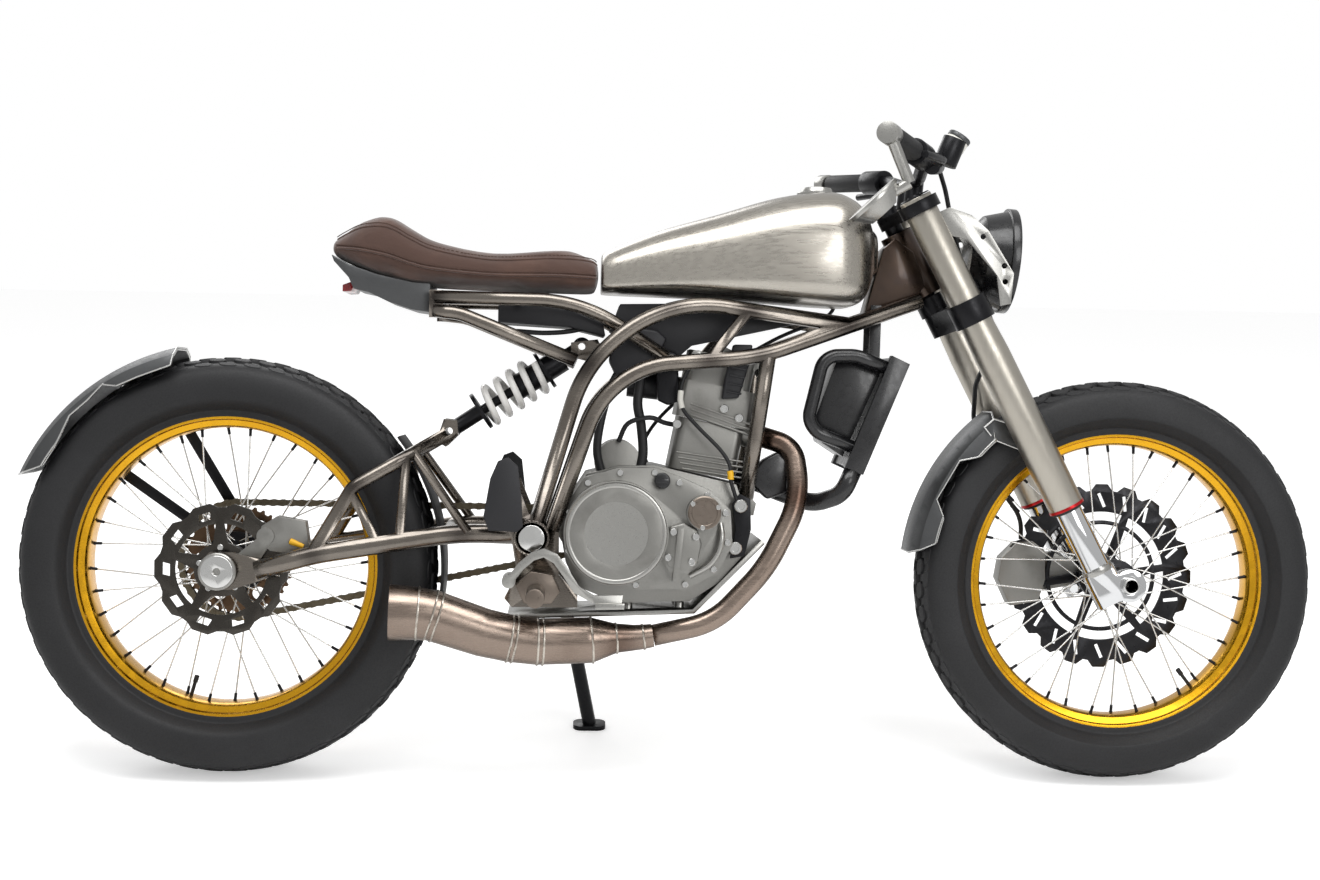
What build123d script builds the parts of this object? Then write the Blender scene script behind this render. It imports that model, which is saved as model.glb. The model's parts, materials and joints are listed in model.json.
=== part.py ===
from build123d import *
import os
from math import acos, atan2, cos, degrees, pi, radians, sin, tan

# Cafe racer motorcycle at full size, parked on its side stand.
# All pieces are drawn with the motorcycle upright: X runs forward from the rear axle, Y to the
# rider's left and Z up from the ground, in millimetres. The last step leans the whole machine
# over to its left, onto the stand, and puts the origin at the bottom centre of its box.

# Whole machine
WHEELBASE = 1482.0
LEAN = 9.0
SEAT_FIT = 0.3      # air between pieces that rest on each other
RUN_FIT = 0.05      # radial air of an axle in its bore

# Wheels: 19 inch rims
BEAD_R = 241.3
FLANGE_R = 255.3
SPOKES = 36
SPOKE_R = 1.7
REAR_TYRE_R = 344.0
REAR_TYRE_HALF = 72.0
REAR_RIM_HALF = 46.0
FRONT_TYRE_R = 336.0
FRONT_TYRE_HALF = 62.0
FRONT_RIM_HALF = 38.0
CROWN_HALF = 12.0   # flat middle of the tread, on which both tyres stand
FRONT_AXLE_R = 13.0
FRONT_AXLE_BORE = 10.5
REAR_AXLE_R = 12.5
REAR_AXLE_BORE = 6.0

# Steering and fork
RAKE = 27.5
HEAD_X = 1079.5     # a point of the steering axis
HEAD_Z = 961.0
FORK_OFFSET = 35.0  # fork tubes ahead of the steering axis
FORK_HALF = 100.0   # fork tubes from the middle
FORK_TOP_R = 27.0
FORK_LOW_R = 29.5
STANCHION_R = 22.0
STEM_R = 15.0
HEAD_TUBE_R = 28.0
HEAD_TUBE_FROM = 52.0
HEAD_TUBE_TO = 168.0
FORK_CAP_AT = 14.0
OUTER_END_AT = 580.0
FOOT_AT = 696.0
FOOT_END = 755.0
BAR_R = 11.1
GRIP_R = 16.0

# Frame tubes
TUBE_R = 12.7
BRACE_R = 9.0
RAIL_R = 11.0
ARM_R = 15.5
TRUSS_R = 11.0
PIVOT = (501.0, 405.0)
PIVOT_TUBE_R = 22.0
PIVOT_BOLT_R = 8.0
FRAME_HALF = 135.0  # main tubes from the middle, beside the engine

# Chain and sprockets
PITCH = 15.875
REAR_TEETH = 39
FRONT_TEETH = 15
CHAIN_Y = 92.0
CHAIN_HALF = 8.0
ROLLER_R = 4.0
COUNTERSHAFT = (575.0, 402.0)

# Brakes
FRONT_DISC_R = 159.0
FRONT_DISC_Y = 66.0
REAR_DISC_R = 108.0
REAR_DISC_Y = -89.5
DISC_HALF = 2.5

# Side stand
STAND_PIVOT = (560.0, 122.0, 262.0)
STAND_AXIS = (0.0, cos(radians(28)), sin(radians(28)))
STAND_WAY = (0.1736, 0.4623, -0.8695)
STAND_R = 12.0
STAND_PAD = 8.0
STAND_PIN_R = 6.0

# Engine, exhaust and small pieces
GUSSET_HALF = 32.0
COVER_Y = -121.5    # outer face of the right engine casting
HEADER_R = 17.5
OUTLET_R = 38.0
FOOT_HALF = 18.0    # half width of a fork leg's foot
LAMP_ARM_Y = 92.0
FLAP_R = 352.0

REAR_AXLE = (0.0, REAR_TYRE_R)
FRONT_AXLE = (WHEELBASE, FRONT_TYRE_R)
MASTER_END = Vector(1150, -110, 1016)
DOWN_FORK = Vector(sin(radians(RAKE)), 0, -cos(radians(RAKE)))
AHEAD_FORK = Vector(cos(radians(RAKE)), 0, sin(radians(RAKE)))


# Helpers
def rod(start, end, radius, end_radius=None):
    """Round bar, or cone, from start to end."""
    start = Vector(start)
    way = Vector(end) - start
    low = (Align.CENTER, Align.CENTER, Align.MIN)
    if end_radius is None:
        bar = Cylinder(radius, way.length, align=low)
    else:
        bar = Cone(radius, end_radius, way.length, align=low)
    return Plane(origin=start, z_dir=way) * bar


def pipe(points, bends, radius, sides=0):
    """Tube along straight runs, with the bend radius of each inner point. A thin hose has flat sides."""
    line = FilletPolyline(*points, radius=bends)
    start = Plane(origin=line @ 0, z_dir=line % 0)
    section = RegularPolygon(radius, sides) if sides else Circle(radius)
    return sweep(start * section, path=line)


def plate(outline, y_from, y_to):
    """Flat piece with an outline of (x, z) points, from y_from to y_to."""
    edge = Polyline(*[(x, y_from, z) for x, z in outline], close=True)
    return extrude(make_face(edge), amount=y_to - y_from, dir=(0, 1, 0))


def turned(profile, centre, angle=360.0):
    """Round piece about the crosswise axis through centre, from (y, radius) points."""
    face = make_face(Polyline(*[(0, y, r) for y, r in profile], close=True))
    return Pos(centre[0], 0, centre[1]) * revolve(face, Axis.Y, angle)


def both(shape):
    """The shape and its mirror image on the other side."""
    return [shape, mirror(shape, about=Plane.XZ)]


def fuse(pieces):
    """One solid from pieces that reach into each other."""
    whole = pieces[0]
    return whole.fuse(*pieces[1:]) if len(pieces) > 1 else whole


def fork(down, ahead, y):
    """A point by its way down the steering axis, ahead of it, and to the left."""
    return Vector(HEAD_X, y, HEAD_Z) + DOWN_FORK * down + AHEAD_FORK * ahead


def fork_plane(down):
    """Plane square to the steering axis: local x ahead, local y to the rider's right."""
    return Plane(origin=fork(down, 0, 0), x_dir=AHEAD_FORK, z_dir=DOWN_FORK)


def polar(radius, angle):
    return radius * cos(radians(angle)), radius * sin(radians(angle))


def lobed(outer, valley, lobes, share):
    """Outline of a wavy disc: each lobe is a flat crest and a flat valley."""
    points = []
    step = 360.0 / lobes
    for n in range(lobes):
        for at, radius in ((-share, outer), (share, outer), (0.5 - share / 2, valley),
                           (0.5 + share / 2, valley)):
            points.append(polar(radius, (n + at) * step))
    return points


# Wheels
def tyre(centre, radius, half, rim_half):
    """Tyre: bead, wall, shoulder and a tread with a narrow flat crown."""
    side = [(rim_half - 5, BEAD_R), (rim_half, FLANGE_R), (half, radius - 42),
            (half * 0.8, radius - 11), (CROWN_HALF, radius)]
    profile = side + [(-y, r) for y, r in reversed(side)]
    return turned(profile, centre)


def rim(centre, half):
    """Stepped rim: flanges for the beads and a narrower spoke bed inside."""
    side = [(half - 5, BEAD_R), (half, FLANGE_R), (half, FLANGE_R - 9), (half - 16, 228)]
    profile = side + [(-y, r) for y, r in reversed(side)]
    return turned(profile, centre)


def spoked_hub(centre, barrel, flange_y, bore):
    """Hub turned from a barrel profile, with crossed spokes out to the rim."""
    hub = turned(barrel, centre)
    spokes = []
    for n in range(SPOKES):
        side = 1 if n % 2 else -1
        lead = 1 if (n // 2) % 2 else -1
        rim_angle = 360.0 * n / SPOKES + 2.0
        hub_x, hub_z = polar(31.0, rim_angle + lead * 62.0)
        rim_x, rim_z = polar(227.6, rim_angle)
        start = Vector(hub_x, side * (flange_y + lead * 2.2), hub_z)
        end = Vector(rim_x, side * 9.0, rim_z)
        spoke = extrude(Plane(origin=start, z_dir=end - start) * RegularPolygon(SPOKE_R, 6),
                        amount=(end - start).length)
        spokes.append(Pos(centre[0], 0, centre[1]) * spoke)
    return fuse([hub] + spokes) - rod((centre[0], -200, centre[1]), (centre[0], 200, centre[1]), bore)


def front_wheel():
    flange_y = 30.0
    barrel = [(-70, 0), (-70, 19), (-36, 21), (-36, 36), (-24, 36), (-24, 22), (24, 22), (24, 36),
              (36, 36), (36, 30), (FRONT_DISC_Y - DISC_HALF - 8, 30), (FRONT_DISC_Y - DISC_HALF - 8, 40),
              (FRONT_DISC_Y - DISC_HALF, 40), (FRONT_DISC_Y - DISC_HALF, 19), (70, 19), (70, 0)]
    disc_outline = [(x, z) for x, z in lobed(FRONT_DISC_R, FRONT_DISC_R - 11, 20, 0.2)]
    face = make_face(Polyline(*disc_outline, close=True)) - Circle(FRONT_DISC_R - 48)
    slot = Pos(FRONT_DISC_R - 28, 0) * Rot(Z=24) * Rectangle(26, 6)
    face -= [Rot(Z=18.0 * n) * slot for n in range(20)]
    arm = make_face(Polyline((30, -9), (30, 9), (FRONT_DISC_R - 44, 22), (FRONT_DISC_R - 44, 10), close=True))
    carrier = Circle(96) - Circle(89) + Circle(40)
    carrier += [Rot(Z=60.0 * n) * arm for n in range(6)]
    face = face + carrier - Circle(21)
    disc = Pos(FRONT_AXLE[0], FRONT_DISC_Y + DISC_HALF, FRONT_AXLE[1]) * Rot(X=90) * extrude(
        face, amount=2 * DISC_HALF)
    return {
        "front_tyre": tyre(FRONT_AXLE, FRONT_TYRE_R, FRONT_TYRE_HALF, FRONT_RIM_HALF),
        "front_rim": rim(FRONT_AXLE, FRONT_RIM_HALF),
        "front_hub": spoked_hub(FRONT_AXLE, barrel, flange_y, FRONT_AXLE_R + RUN_FIT),
        "front_disc": disc,
    }


def rear_wheel():
    flange_y = 34.0
    disc_face = REAR_DISC_Y + DISC_HALF
    sprocket_y = CHAIN_Y - 3.0
    barrel = [(REAR_DISC_Y - 4, 0), (REAR_DISC_Y - 4, 20), (disc_face, 20), (disc_face, 44), (disc_face + 9, 44),
              (disc_face + 9, 30), (-40, 24), (-40, 38), (-28, 38), (-28, 25), (28, 25), (28, 38), (40, 38),
              (40, 52), (sprocket_y, 52), (sprocket_y, 26), (CHAIN_Y + 8, 26), (CHAIN_Y + 8, 0)]
    face = make_face(Polyline(*lobed(REAR_DISC_R, REAR_DISC_R - 7, 10, 0.2), close=True))
    window = make_face(Polyline((82, -8), (94, -11), (94, 9), (82, 12), close=True))
    face -= [Rot(Z=36.0 * n) * window for n in range(10)]
    face -= Circle(74)
    arm = make_face(Polyline((30, -14), (30, 14), (78, 6), (78, -6), close=True))
    face = face + Circle(44) + [Rot(Z=72.0 * n + 20) * arm for n in range(5)]
    face -= Circle(21)
    disc = Pos(REAR_AXLE[0], REAR_DISC_Y + DISC_HALF, REAR_AXLE[1]) * Rot(X=90) * extrude(
        face, amount=2 * DISC_HALF)
    return {
        "rear_tyre": tyre(REAR_AXLE, REAR_TYRE_R, REAR_TYRE_HALF, REAR_RIM_HALF),
        "rear_rim": rim(REAR_AXLE, REAR_RIM_HALF),
        "rear_hub": spoked_hub(REAR_AXLE, barrel, flange_y, REAR_AXLE_R + RUN_FIT),
        "rear_disc": disc,
        "rear_sprocket": sprocket(),
    }


# Chain drive
def pitch_radius(teeth):
    return PITCH / 2 / sin(pi / teeth)


def sprocket():
    """Rear sprocket: teeth that stay under the rollers, and a ring of round windows."""
    tip = pitch_radius(REAR_TEETH) - ROLLER_R - 1.5
    root = tip - 5.0
    step = 360.0 / REAR_TEETH
    teeth = []
    for n in range(REAR_TEETH):
        teeth += [polar(root, (n - 0.3) * step), polar(tip, (n - 0.12) * step),
                  polar(tip, (n + 0.12) * step), polar(root, (n + 0.3) * step)]
    face = make_face(Polyline(*teeth, close=True)) - Circle(27)
    face -= [Rot(Z=60.0 * n) * Pos(66, 0) * Circle(11) for n in range(6)]
    place = Pos(REAR_AXLE[0], CHAIN_Y + 3, REAR_AXLE[1]) * Rot(X=90)
    return place * extrude(face, amount=6.0)


def chain():
    """Drive chain as one loop: a roller band on the pitch line and plates on every second link."""
    big, small = pitch_radius(REAR_TEETH), pitch_radius(FRONT_TEETH)
    rear, front = Vector(REAR_AXLE[0], REAR_AXLE[1]), Vector(COUNTERSHAFT[0], COUNTERSHAFT[1])
    between = front - rear
    lean = atan2(between.Y, between.X)
    spread = acos((big - small) / between.length)
    top, low = lean + spread, lean - spread

    def band(grow):
        corners = []
        for centre, radius in ((rear, big + grow), (front, small + grow)):
            for angle in (top, low):
                corners.append(centre + Vector(cos(angle), sin(angle)) * radius)
        rear_top, rear_low, front_top, front_low = corners
        far_rear = rear - between.normalized() * (big + grow)
        far_front = front + between.normalized() * (small + grow)
        edge = [Line(rear_top, front_top), ThreePointArc(front_top, far_front, front_low),
                Line(front_low, rear_low), ThreePointArc(rear_low, far_rear, rear_top)]
        return make_face(edge)

    run = between.length * sin(spread)
    front_arc, rear_arc = 2 * spread * small, (2 * pi - 2 * spread) * big
    length = 2 * run + front_arc + rear_arc
    links = round(length / PITCH / 2)
    plates = []
    for n in range(links):
        s = length * n / links
        if s < run:
            start = rear + Vector(cos(top), sin(top)) * big
            at = start + Vector(sin(top), -cos(top)) * s
            turn = top - pi / 2
        elif s < run + front_arc:
            turn = top - (s - run) / small - pi / 2
            at = front + Vector(cos(turn + pi / 2), sin(turn + pi / 2)) * small
        elif s < 2 * run + front_arc:
            start = front + Vector(cos(low), sin(low)) * small
            at = start - Vector(-sin(low), cos(low)) * (s - run - front_arc)
            turn = low - pi / 2
        else:
            turn = low - (s - 2 * run - front_arc) / big - pi / 2
            at = rear + Vector(cos(turn + pi / 2), sin(turn + pi / 2)) * big
        half, tall = PITCH / 2 + 6, 6.2
        shape = Polyline((-half, 0), (-half + 5, tall), (half - 5, tall), (half, 0), (half - 5, -tall),
                         (-half + 5, -tall), close=True)
        plates.append(Pos(at.X, at.Y) * Rot(Z=degrees(turn)) * make_face(shape))
    roller_band = extrude(band(ROLLER_R) - band(-ROLLER_R), amount=4.5, both=True)
    links_cut = [extrude(p, amount=CHAIN_HALF, both=True) - Box(4000, 4000, 6.0) for p in plates]
    whole = fuse([roller_band] + [s for cut in links_cut for s in cut.solids()])
    return Pos(0, CHAIN_Y, 0) * Rot(X=90) * whole


# Frame
LOOP_UPPER = [(505, FRAME_HALF, 418), (583, FRAME_HALF, 686), (715, 122, 793), (1012, 72, 758)]
LOOP_LOWER = [(533, FRAME_HALF, 418), (621, FRAME_HALF, 680), (864, 118, 701), (1140, 34, 800)]


def down_tube(radius):
    """Left front tube from the lower loop down to the engine's front lug."""
    return pipe([(880, 112, 704), (868, 78, 590), (852, 62, 470)], [300], radius)


def frame_side():
    """Left tube loops with the pivot boss and the lower plate, as one welded piece."""
    pieces = [
        pipe(LOOP_UPPER, [215, 225], TUBE_R),
        pipe(LOOP_LOWER, [155, 300], TUBE_R),
        rod((849, 101, 777), (783, 124, 696), BRACE_R),
        down_tube(TUBE_R),
        rod((PIVOT[0], 118, PIVOT[1]), (PIVOT[0], 150, PIVOT[1]), 29.5),
        plate([(468, 404), (454, 432), (452, 486), (476, 490), (496, 442), (544, 436), (545, 345), (576, 312),
               (576, 292), (470, 292), (458, 306), (478, 346)], 116, 126),
    ]
    side = fuse(pieces)
    side -= rod((PIVOT[0], 140, PIVOT[1]), (PIVOT[0], 152, PIVOT[1]), 25)
    side -= rod((PIVOT[0], 100, PIVOT[1]), (PIVOT[0], 160, PIVOT[1]), PIVOT_BOLT_R + RUN_FIT)
    return side


def stand_point(along):
    return Vector(STAND_PIVOT) + Vector(STAND_AXIS) * along


def steering_head():
    """Bored head tube in a boxed gusset."""
    head = rod(fork(HEAD_TUBE_FROM, 0, 0), fork(HEAD_TUBE_TO, 0, 0), HEAD_TUBE_R)
    box = plate([(1048, 776), (1078, 886), (1096, 904), (1128, 882), (1148, 826), (1126, 794)],
                -GUSSET_HALF, GUSSET_HALF)
    return fuse([head, box]) - rod(fork(0, 0, 0), fork(250, 0, 0), STEM_R + RUN_FIT)


def cross_members(sides):
    """Tubes that join the two sides, with the lugs for the shock absorber."""
    pieces = [
        rod((722, -118, 690), (722, 118, 690), TUBE_R),
        rod((609, -130, 707), (609, 130, 707), TUBE_R),
    ]
    tubes = []
    for piece in pieces:
        for side in sides:
            piece -= side
        tubes.append(piece)
    lug = plate([(560, 722), (604, 728), (618, 700), (596, 690), (570, 696), (560, 706)], 17, 23)
    middle = fuse([tubes[1]] + both(lug))
    middle -= rod((578, -30, 716), (578, 30, 716), 6.05)
    return [tubes[0], middle]


def seat_rails():
    upper = pipe([(338, 100, 790), (576, 95, 788), (716, 66, 700)], [250], RAIL_R)
    lower = pipe([(336, 100, 768), (380, 101, 764), (568, 128, 690)], [90], RAIL_R)
    pieces = both(upper) + both(lower)
    pieces += [rod((342, -100, 790), (342, 100, 790), RAIL_R), rod((470, -98, 789), (470, 98, 789), 7)]
    pieces += both(plate([(330, 757), (330, 801), (352, 801), (352, 757)], 96, 104))
    return fuse(pieces)


def swingarm():
    pieces = []
    for s in (1, -1):
        arm = pipe([(60, s * 121, 345), (150, s * 121, 372), (385, s * 110, 410), (501, s * 91, 405)],
                   [400, 400], ARM_R)
        truss = pipe([(150, s * 121, 375), (213, s * 118, 482), (292, s * 98, 528), (356, s * 30, 566)],
                     [30, 60], TRUSS_R)
        pieces += [arm, truss]
        braces = (((209, 118, 476), (253, 118, 392)), ((296, 97, 529), (288, 119, 398)),
                  ((308, 86, 537), (398, 119, 411)))
        pieces += [rod((ax, s * ay, az), (bx, s * by, bz), 7.5) for (ax, ay, az), (bx, by, bz) in braces]
        lug = plate([(-28, 330), (-28, 358), (-14, 374), (20, 374), (64, 364), (84, 350), (84, 336),
                     (58, 326), (20, 314), (-14, 314)], s * 113 - 8, s * 113 + 8)
        pieces.append(lug)
        pieces.append(plate([(340, 555), (352, 592), (374, 590), (376, 566), (356, 546)], s * 28 - 10, s * 28 + 10))
    pieces.append(rod((PIVOT[0], -115.7, PIVOT[1]), (PIVOT[0], 115.7, PIVOT[1]), PIVOT_TUBE_R))
    brace_x = ((FLAP_R + 5.3 + TRUSS_R) ** 2 - 64.0 ** 2) ** 0.5
    pieces.append(rod((brace_x, -108, REAR_AXLE[1] + 64), (brace_x, 108, REAR_AXLE[1] + 64), TRUSS_R))
    whole = fuse(pieces)
    whole -= rod((PIVOT[0], -200, PIVOT[1]), (PIVOT[0], 200, PIVOT[1]), PIVOT_BOLT_R + RUN_FIT)
    whole -= rod((361, -60, 572), (361, 60, 572), 6.05)
    whole -= rod((0, -200, REAR_AXLE[1]), (0, 200, REAR_AXLE[1]), REAR_AXLE_R + RUN_FIT)
    return whole


def rear_axle():
    """Hollow rear axle with its nuts and spacers."""
    x, z = REAR_AXLE
    axle = [rod((x, -132, z), (x, 130, z), REAR_AXLE_R),
            rod((x, -136, z), (x, -121.3, z), 26),
            rod((x, 121.3, z), (x, 134, z), 20),
            rod((x, -104.7, z), (x, REAR_DISC_Y - 4.6, z), 19),
            rod((x, CHAIN_Y + 8.6, z), (x, 104.7, z), 19)]
    return fuse(axle) - rod((x, -200, z), (x, 200, z), REAR_AXLE_BORE)


def pivot_bolt():
    bolt = [rod((PIVOT[0], -149, PIVOT[1]), (PIVOT[0], 149, PIVOT[1]), PIVOT_BOLT_R)]
    bolt += both(rod((PIVOT[0], 140.3, PIVOT[1]), (PIVOT[0], 152, PIVOT[1]), 21))
    return fuse(bolt)


def shock():
    """Damper with its eyes, inside the spring."""
    low, high = Vector(361, 0, 572), Vector(578, 0, 716)
    way = (high - low).normalized()
    pieces = [
        rod(low + Vector(0, -17.5, 0), low + Vector(0, 17.5, 0), 15),
        rod(low, low + way * 58, 13),
        rod(low + way * 58, low + way * 64, 33),
        rod(low + way * 64, low + way * 150, 8),
        rod(low + way * 128, low + way * 222, 21),
        rod(low + way * 184, low + way * 190, 33),
        rod(high - way * 40, high, 12),
        rod(high + Vector(0, -16.5, 0), high + Vector(0, 16.5, 0), 15),
    ]
    body = fuse(pieces)
    body -= rod(low + Vector(0, -60, 0), low + Vector(0, 60, 0), 6.05)
    body -= rod(high + Vector(0, -60, 0), high + Vector(0, 60, 0), 6.05)
    return body


def shock_spring():
    """Coil spring between the collars, drawn as its five turns joined by a sleeve."""
    low, high = Vector(361, 0, 572), Vector(578, 0, 716)
    way = (high - low).normalized()
    start, length, turns = 64.3, 119.4, 5
    step = length / turns
    profile = [(24, 0)]
    for n in range(turns):
        at = n * step
        profile += [(29, at), (36, at + step * 0.25), (36, at + step * 0.55), (29, at + step * 0.8)]
    profile += [(29, length), (24, length)]
    face = make_face(Polyline(*[(r, 0, z) for r, z in profile], close=True))
    return Plane(origin=low + way * start, z_dir=way) * revolve(face, Axis.Z, 360)


# Body work
def tank_section(x, half, low, high):
    """Cross-section of the tank: flat floor, upright sides and a rounded top."""
    tall = high - low
    points = [(x, -half + 8, low), (x, -half, low + tall * 0.5), (x, -half * 0.62, high - 2),
              (x, half * 0.62, high - 2), (x, half, low + tall * 0.5), (x, half - 8, low)]
    line = FilletPolyline(*points, radius=[tall * 0.30, tall * 0.34, tall * 0.34, tall * 0.30])
    return make_face([line, Line(points[-1], points[0])])


def fuel_tank():
    # x, half width, floor height, top height
    sections = [(612, 74, 803, 868), (700, 96, 802, 907), (800, 114, 799, 937), (900, 126, 793, 970),
                (985, 126, 787, 980), (1038, 102, 790, 961), (1071, 72, 836, 922)]
    tank = loft([tank_section(*row) for row in sections])
    inside = GUSSET_HALF + 0.5
    tunnel = plate([(960, 760), (985, 812), (1060, 912), (1130, 930), (1130, 760)], -inside, inside)
    filler = rod((968, 0, 970), (968, 0, 992), 30)
    return fuse([tank - tunnel, filler])


SEAT_BASE = [(170, 857), (200, 841), (246, 826), (300, 815), (370, 811), (608, 805)]


def seat_section(x, half, low, high):
    tall = high - low
    points = [(x, -half, low), (x, -half * 0.8, high - tall * 0.12), (x, half * 0.8, high - tall * 0.12),
              (x, half, low)]
    top = ThreePointArc(points[1], (x, 0, high), points[2])
    return make_face([Line(points[0], points[1]), top, Line(points[2], points[3]), Line(points[3], points[0])])


def seat():
    # x, half width, lowest, highest
    sections = [(166, 70, 790, 890), (205, 98, 790, 911), (262, 110, 790, 923), (335, 112, 790, 878),
                (430, 108, 790, 861), (530, 98, 790, 871), (606, 82, 790, 867)]
    pad = loft([seat_section(*row) for row in sections])
    below = [(100, 700)] + [(100, 890)] + SEAT_BASE + [(640, 805), (640, 700)]
    return pad - plate(below, -200, 200)


def tail_unit():
    """Painted tail under the seat: a shallow fin and a lamp box."""
    top = [(x, z - SEAT_FIT) for x, z in SEAT_BASE[:4]]
    front = 342 - RAIL_R - SEAT_FIT
    outline = top + [(front, 813), (front, 766), (300, 770), (262, 782), (230, 797), (206, 802), (198, 820),
                     (174, 846)]
    return plate(outline, -84, 84)


def tail_lamp():
    return plate([(186, 798), (186, 809), (200, 814), (204, 806), (200, 799)], -60, 60)


# Engine
def tilted(x, z, angle):
    """Plane at (x, z) whose local z leans forward from upright by angle."""
    return Plane(origin=(x, 0, z), x_dir=(cos(radians(angle)), 0, -sin(radians(angle))),
                 z_dir=(sin(radians(angle)), 0, cos(radians(angle))))


CYLINDER_LEAN = 11.0
CYLINDER_FOOT = (778.0, 508.0)
CASE_OUTLINE = [(556, 362), (547, 410), (556, 456), (588, 506), (640, 520), (700, 522), (834, 492), (852, 440),
                (850, 380), (806, 330), (760, 300), (640, 296), (576, 322)]


def starter_gear(radius):
    return rod((640, -60, 524), (640, 40, 524), radius)


def crankcase():
    """Engine case, one heavy block, with the starter gear bulge on top."""
    case = plate(CASE_OUTLINE, -84, 80)
    gear = starter_gear(38)
    front_lug = plate([(830, 440), (830, 470), (858, 474), (870, 460), (866, 440)], -52, 52)
    whole = fuse([case, gear, front_lug])
    for tube in both(down_tube(TUBE_R + SEAT_FIT)):
        whole -= tube
    return whole


def exhaust_port(radius):
    return rod((838, -26, 582), (872, -34, 572), radius)


def cylinder():
    block = Rectangle(112, 120)
    block = fillet(block.vertices(), 16)
    block = tilted(*CYLINDER_FOOT, CYLINDER_LEAN) * extrude(block, amount=86)
    return block - plate(CASE_OUTLINE, -90, 90) - exhaust_port(24 + SEAT_FIT) - starter_gear(38 + SEAT_FIT)


def cylinder_head():
    place = tilted(*CYLINDER_FOOT, CYLINDER_LEAN)
    low = place * (Pos(0, 0, 86.3) * extrude(fillet(Rectangle(124, 128).vertices(), 10), amount=62))
    high = place * (Pos(-4, 0, 140) * extrude(fillet(Rectangle(112, 104).vertices(), 14), amount=58))
    cover = place * (Pos(24, 0, 190) * Rot(Y=14) * extrude(Rectangle(76, 92), amount=16))
    inlet = rod((752, 0, 646), (716, 0, 650), 21)
    return fuse([low, high, cover, exhaust_port(24), inlet])


CLUTCH = (636.0, 415.0)


def clutch_cover():
    """Right engine covers: the clutch drum cover, filter cover and pump cover on one casting."""
    base = plate([(553, 380), (552, 452), (584, 502), (640, 519), (700, 519), (742, 504), (792, 482),
                  (822, 452), (826, 396), (802, 350), (752, 324), (668, 322), (590, 344)], COVER_Y, -84.3)
    drum = rod((CLUTCH[0], COVER_Y, CLUTCH[1]), (CLUTCH[0], -160, CLUTCH[1]), 84)
    lid = rod((CLUTCH[0], -160, CLUTCH[1]), (CLUTCH[0], -166, CLUTCH[1]), 80)
    lid -= rod((CLUTCH[0], -163.5, CLUTCH[1]), (CLUTCH[0], -170, CLUTCH[1]), 51)
    small = rod((778, COVER_Y, 449), (778, -144, 449), 28)
    pump = plate([(716, 414), (738, 422), (766, 414), (770, 372), (752, 350), (724, 352), (712, 372)], -136,
                 COVER_Y)
    rib = plate([(736, 424), (746, 424), (738, 338), (728, 338)], -144, COVER_Y)
    return fuse([base, drum, lid, small, pump, rib])


def left_covers():
    """Left engine covers: round generator cover and the sprocket guard ahead of the chain."""
    base = plate([(640, 330), (636, 480), (700, 518), (790, 490), (846, 440), (844, 384), (800, 330), (740, 306)],
                 80.3, 112)
    round_cover = rod((742, 112, 402), (742, 138, 402), 72, 66)
    x, z = COUNTERSHAFT
    outside = CHAIN_Y + CHAIN_HALF + 4
    guard = plate([(x - 20, z + 42), (x + 4, z + 58), (x + 70, z + 54), (x + 80, z - 46), (x + 40, z - 62),
                   (x - 6, z - 54), (x - 20, z - 30)], outside, outside + 5)
    shaft = rod((x, 80.3, z), (x, outside - SEAT_FIT, z), 14)
    gear = rod((x, CHAIN_Y - 3, z), (x, CHAIN_Y + 3, z), pitch_radius(FRONT_TEETH) - ROLLER_R - 1.5)
    return [fuse([base, round_cover, guard]), fuse([shaft, gear])]


def intake():
    """Airbox under the tank and the throttle body behind the head."""
    box = plate([(624, 742), (640, 786), (760, 789), (930, 780), (940, 760), (860, 742), (760, 720), (741, 703.2),
                 (650, 724)], -52, 52)
    box -= rod((722, -60, 690), (722, 60, 690), TUBE_R + SEAT_FIT)
    neck = rod((715.7, 0, 650), (656, 0, 656), 22)
    boot = rod((664, 0, 648), (660, 0, 740), 28)
    return fuse([box, boot, neck])


def radiator():
    """Leaning radiator: core, side tanks and the fan shroud behind it."""
    side = [(1090, 705), (1113, 694), (1040, 516), (1016, 526)]
    core = plate(side, -66, 66)
    tanks = both(plate([(1086, 708), (1116, 694), (1042, 511), (1012, 524)], 66, 90))
    shroud = plate([(1000, 700), (1082, 700), (1012, 540), (978, 562), (966, 606)], -58, 58)
    inner = GUSSET_HALF + SEAT_FIT
    mounts = both(plate([(1056, 690), (1074, 690), (1076, 792), (1058, 792)], inner, inner + 4))
    return fuse([core, shroud] + tanks + mounts)


def coolant_hoses():
    """Metal return pipe on the right, and the lower hose to the front of the cylinder."""
    side_pipe = pipe([(1077.7, -78, 688.1), (1030, -78, 707.3), (975, -81, 706), (950, -82, 600),
                      (966, -78, 579.6), (1024.3, -78, 556.3)], [60, 30, 30, 30], 11)
    lower = pipe([(1026.9, -76, 517.2), (1010, -76, 478), (965, -46, 460), (905, -28, 480), (838, -26, 509)],
                 [38, 60, 120], 15)
    return [side_pipe, lower - cylinder() - crankcase()]


HEADER_ROUTE = [(870, -34, 573), (930, -50, 555), (940, -86, 470), (884, -100, 358), (800, -105, 268),
                (700, -107, 246)]


def exhaust_header():
    return pipe(HEADER_ROUTE, [44, 150, 250, 130], HEADER_R) - exhaust_port(24)


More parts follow.
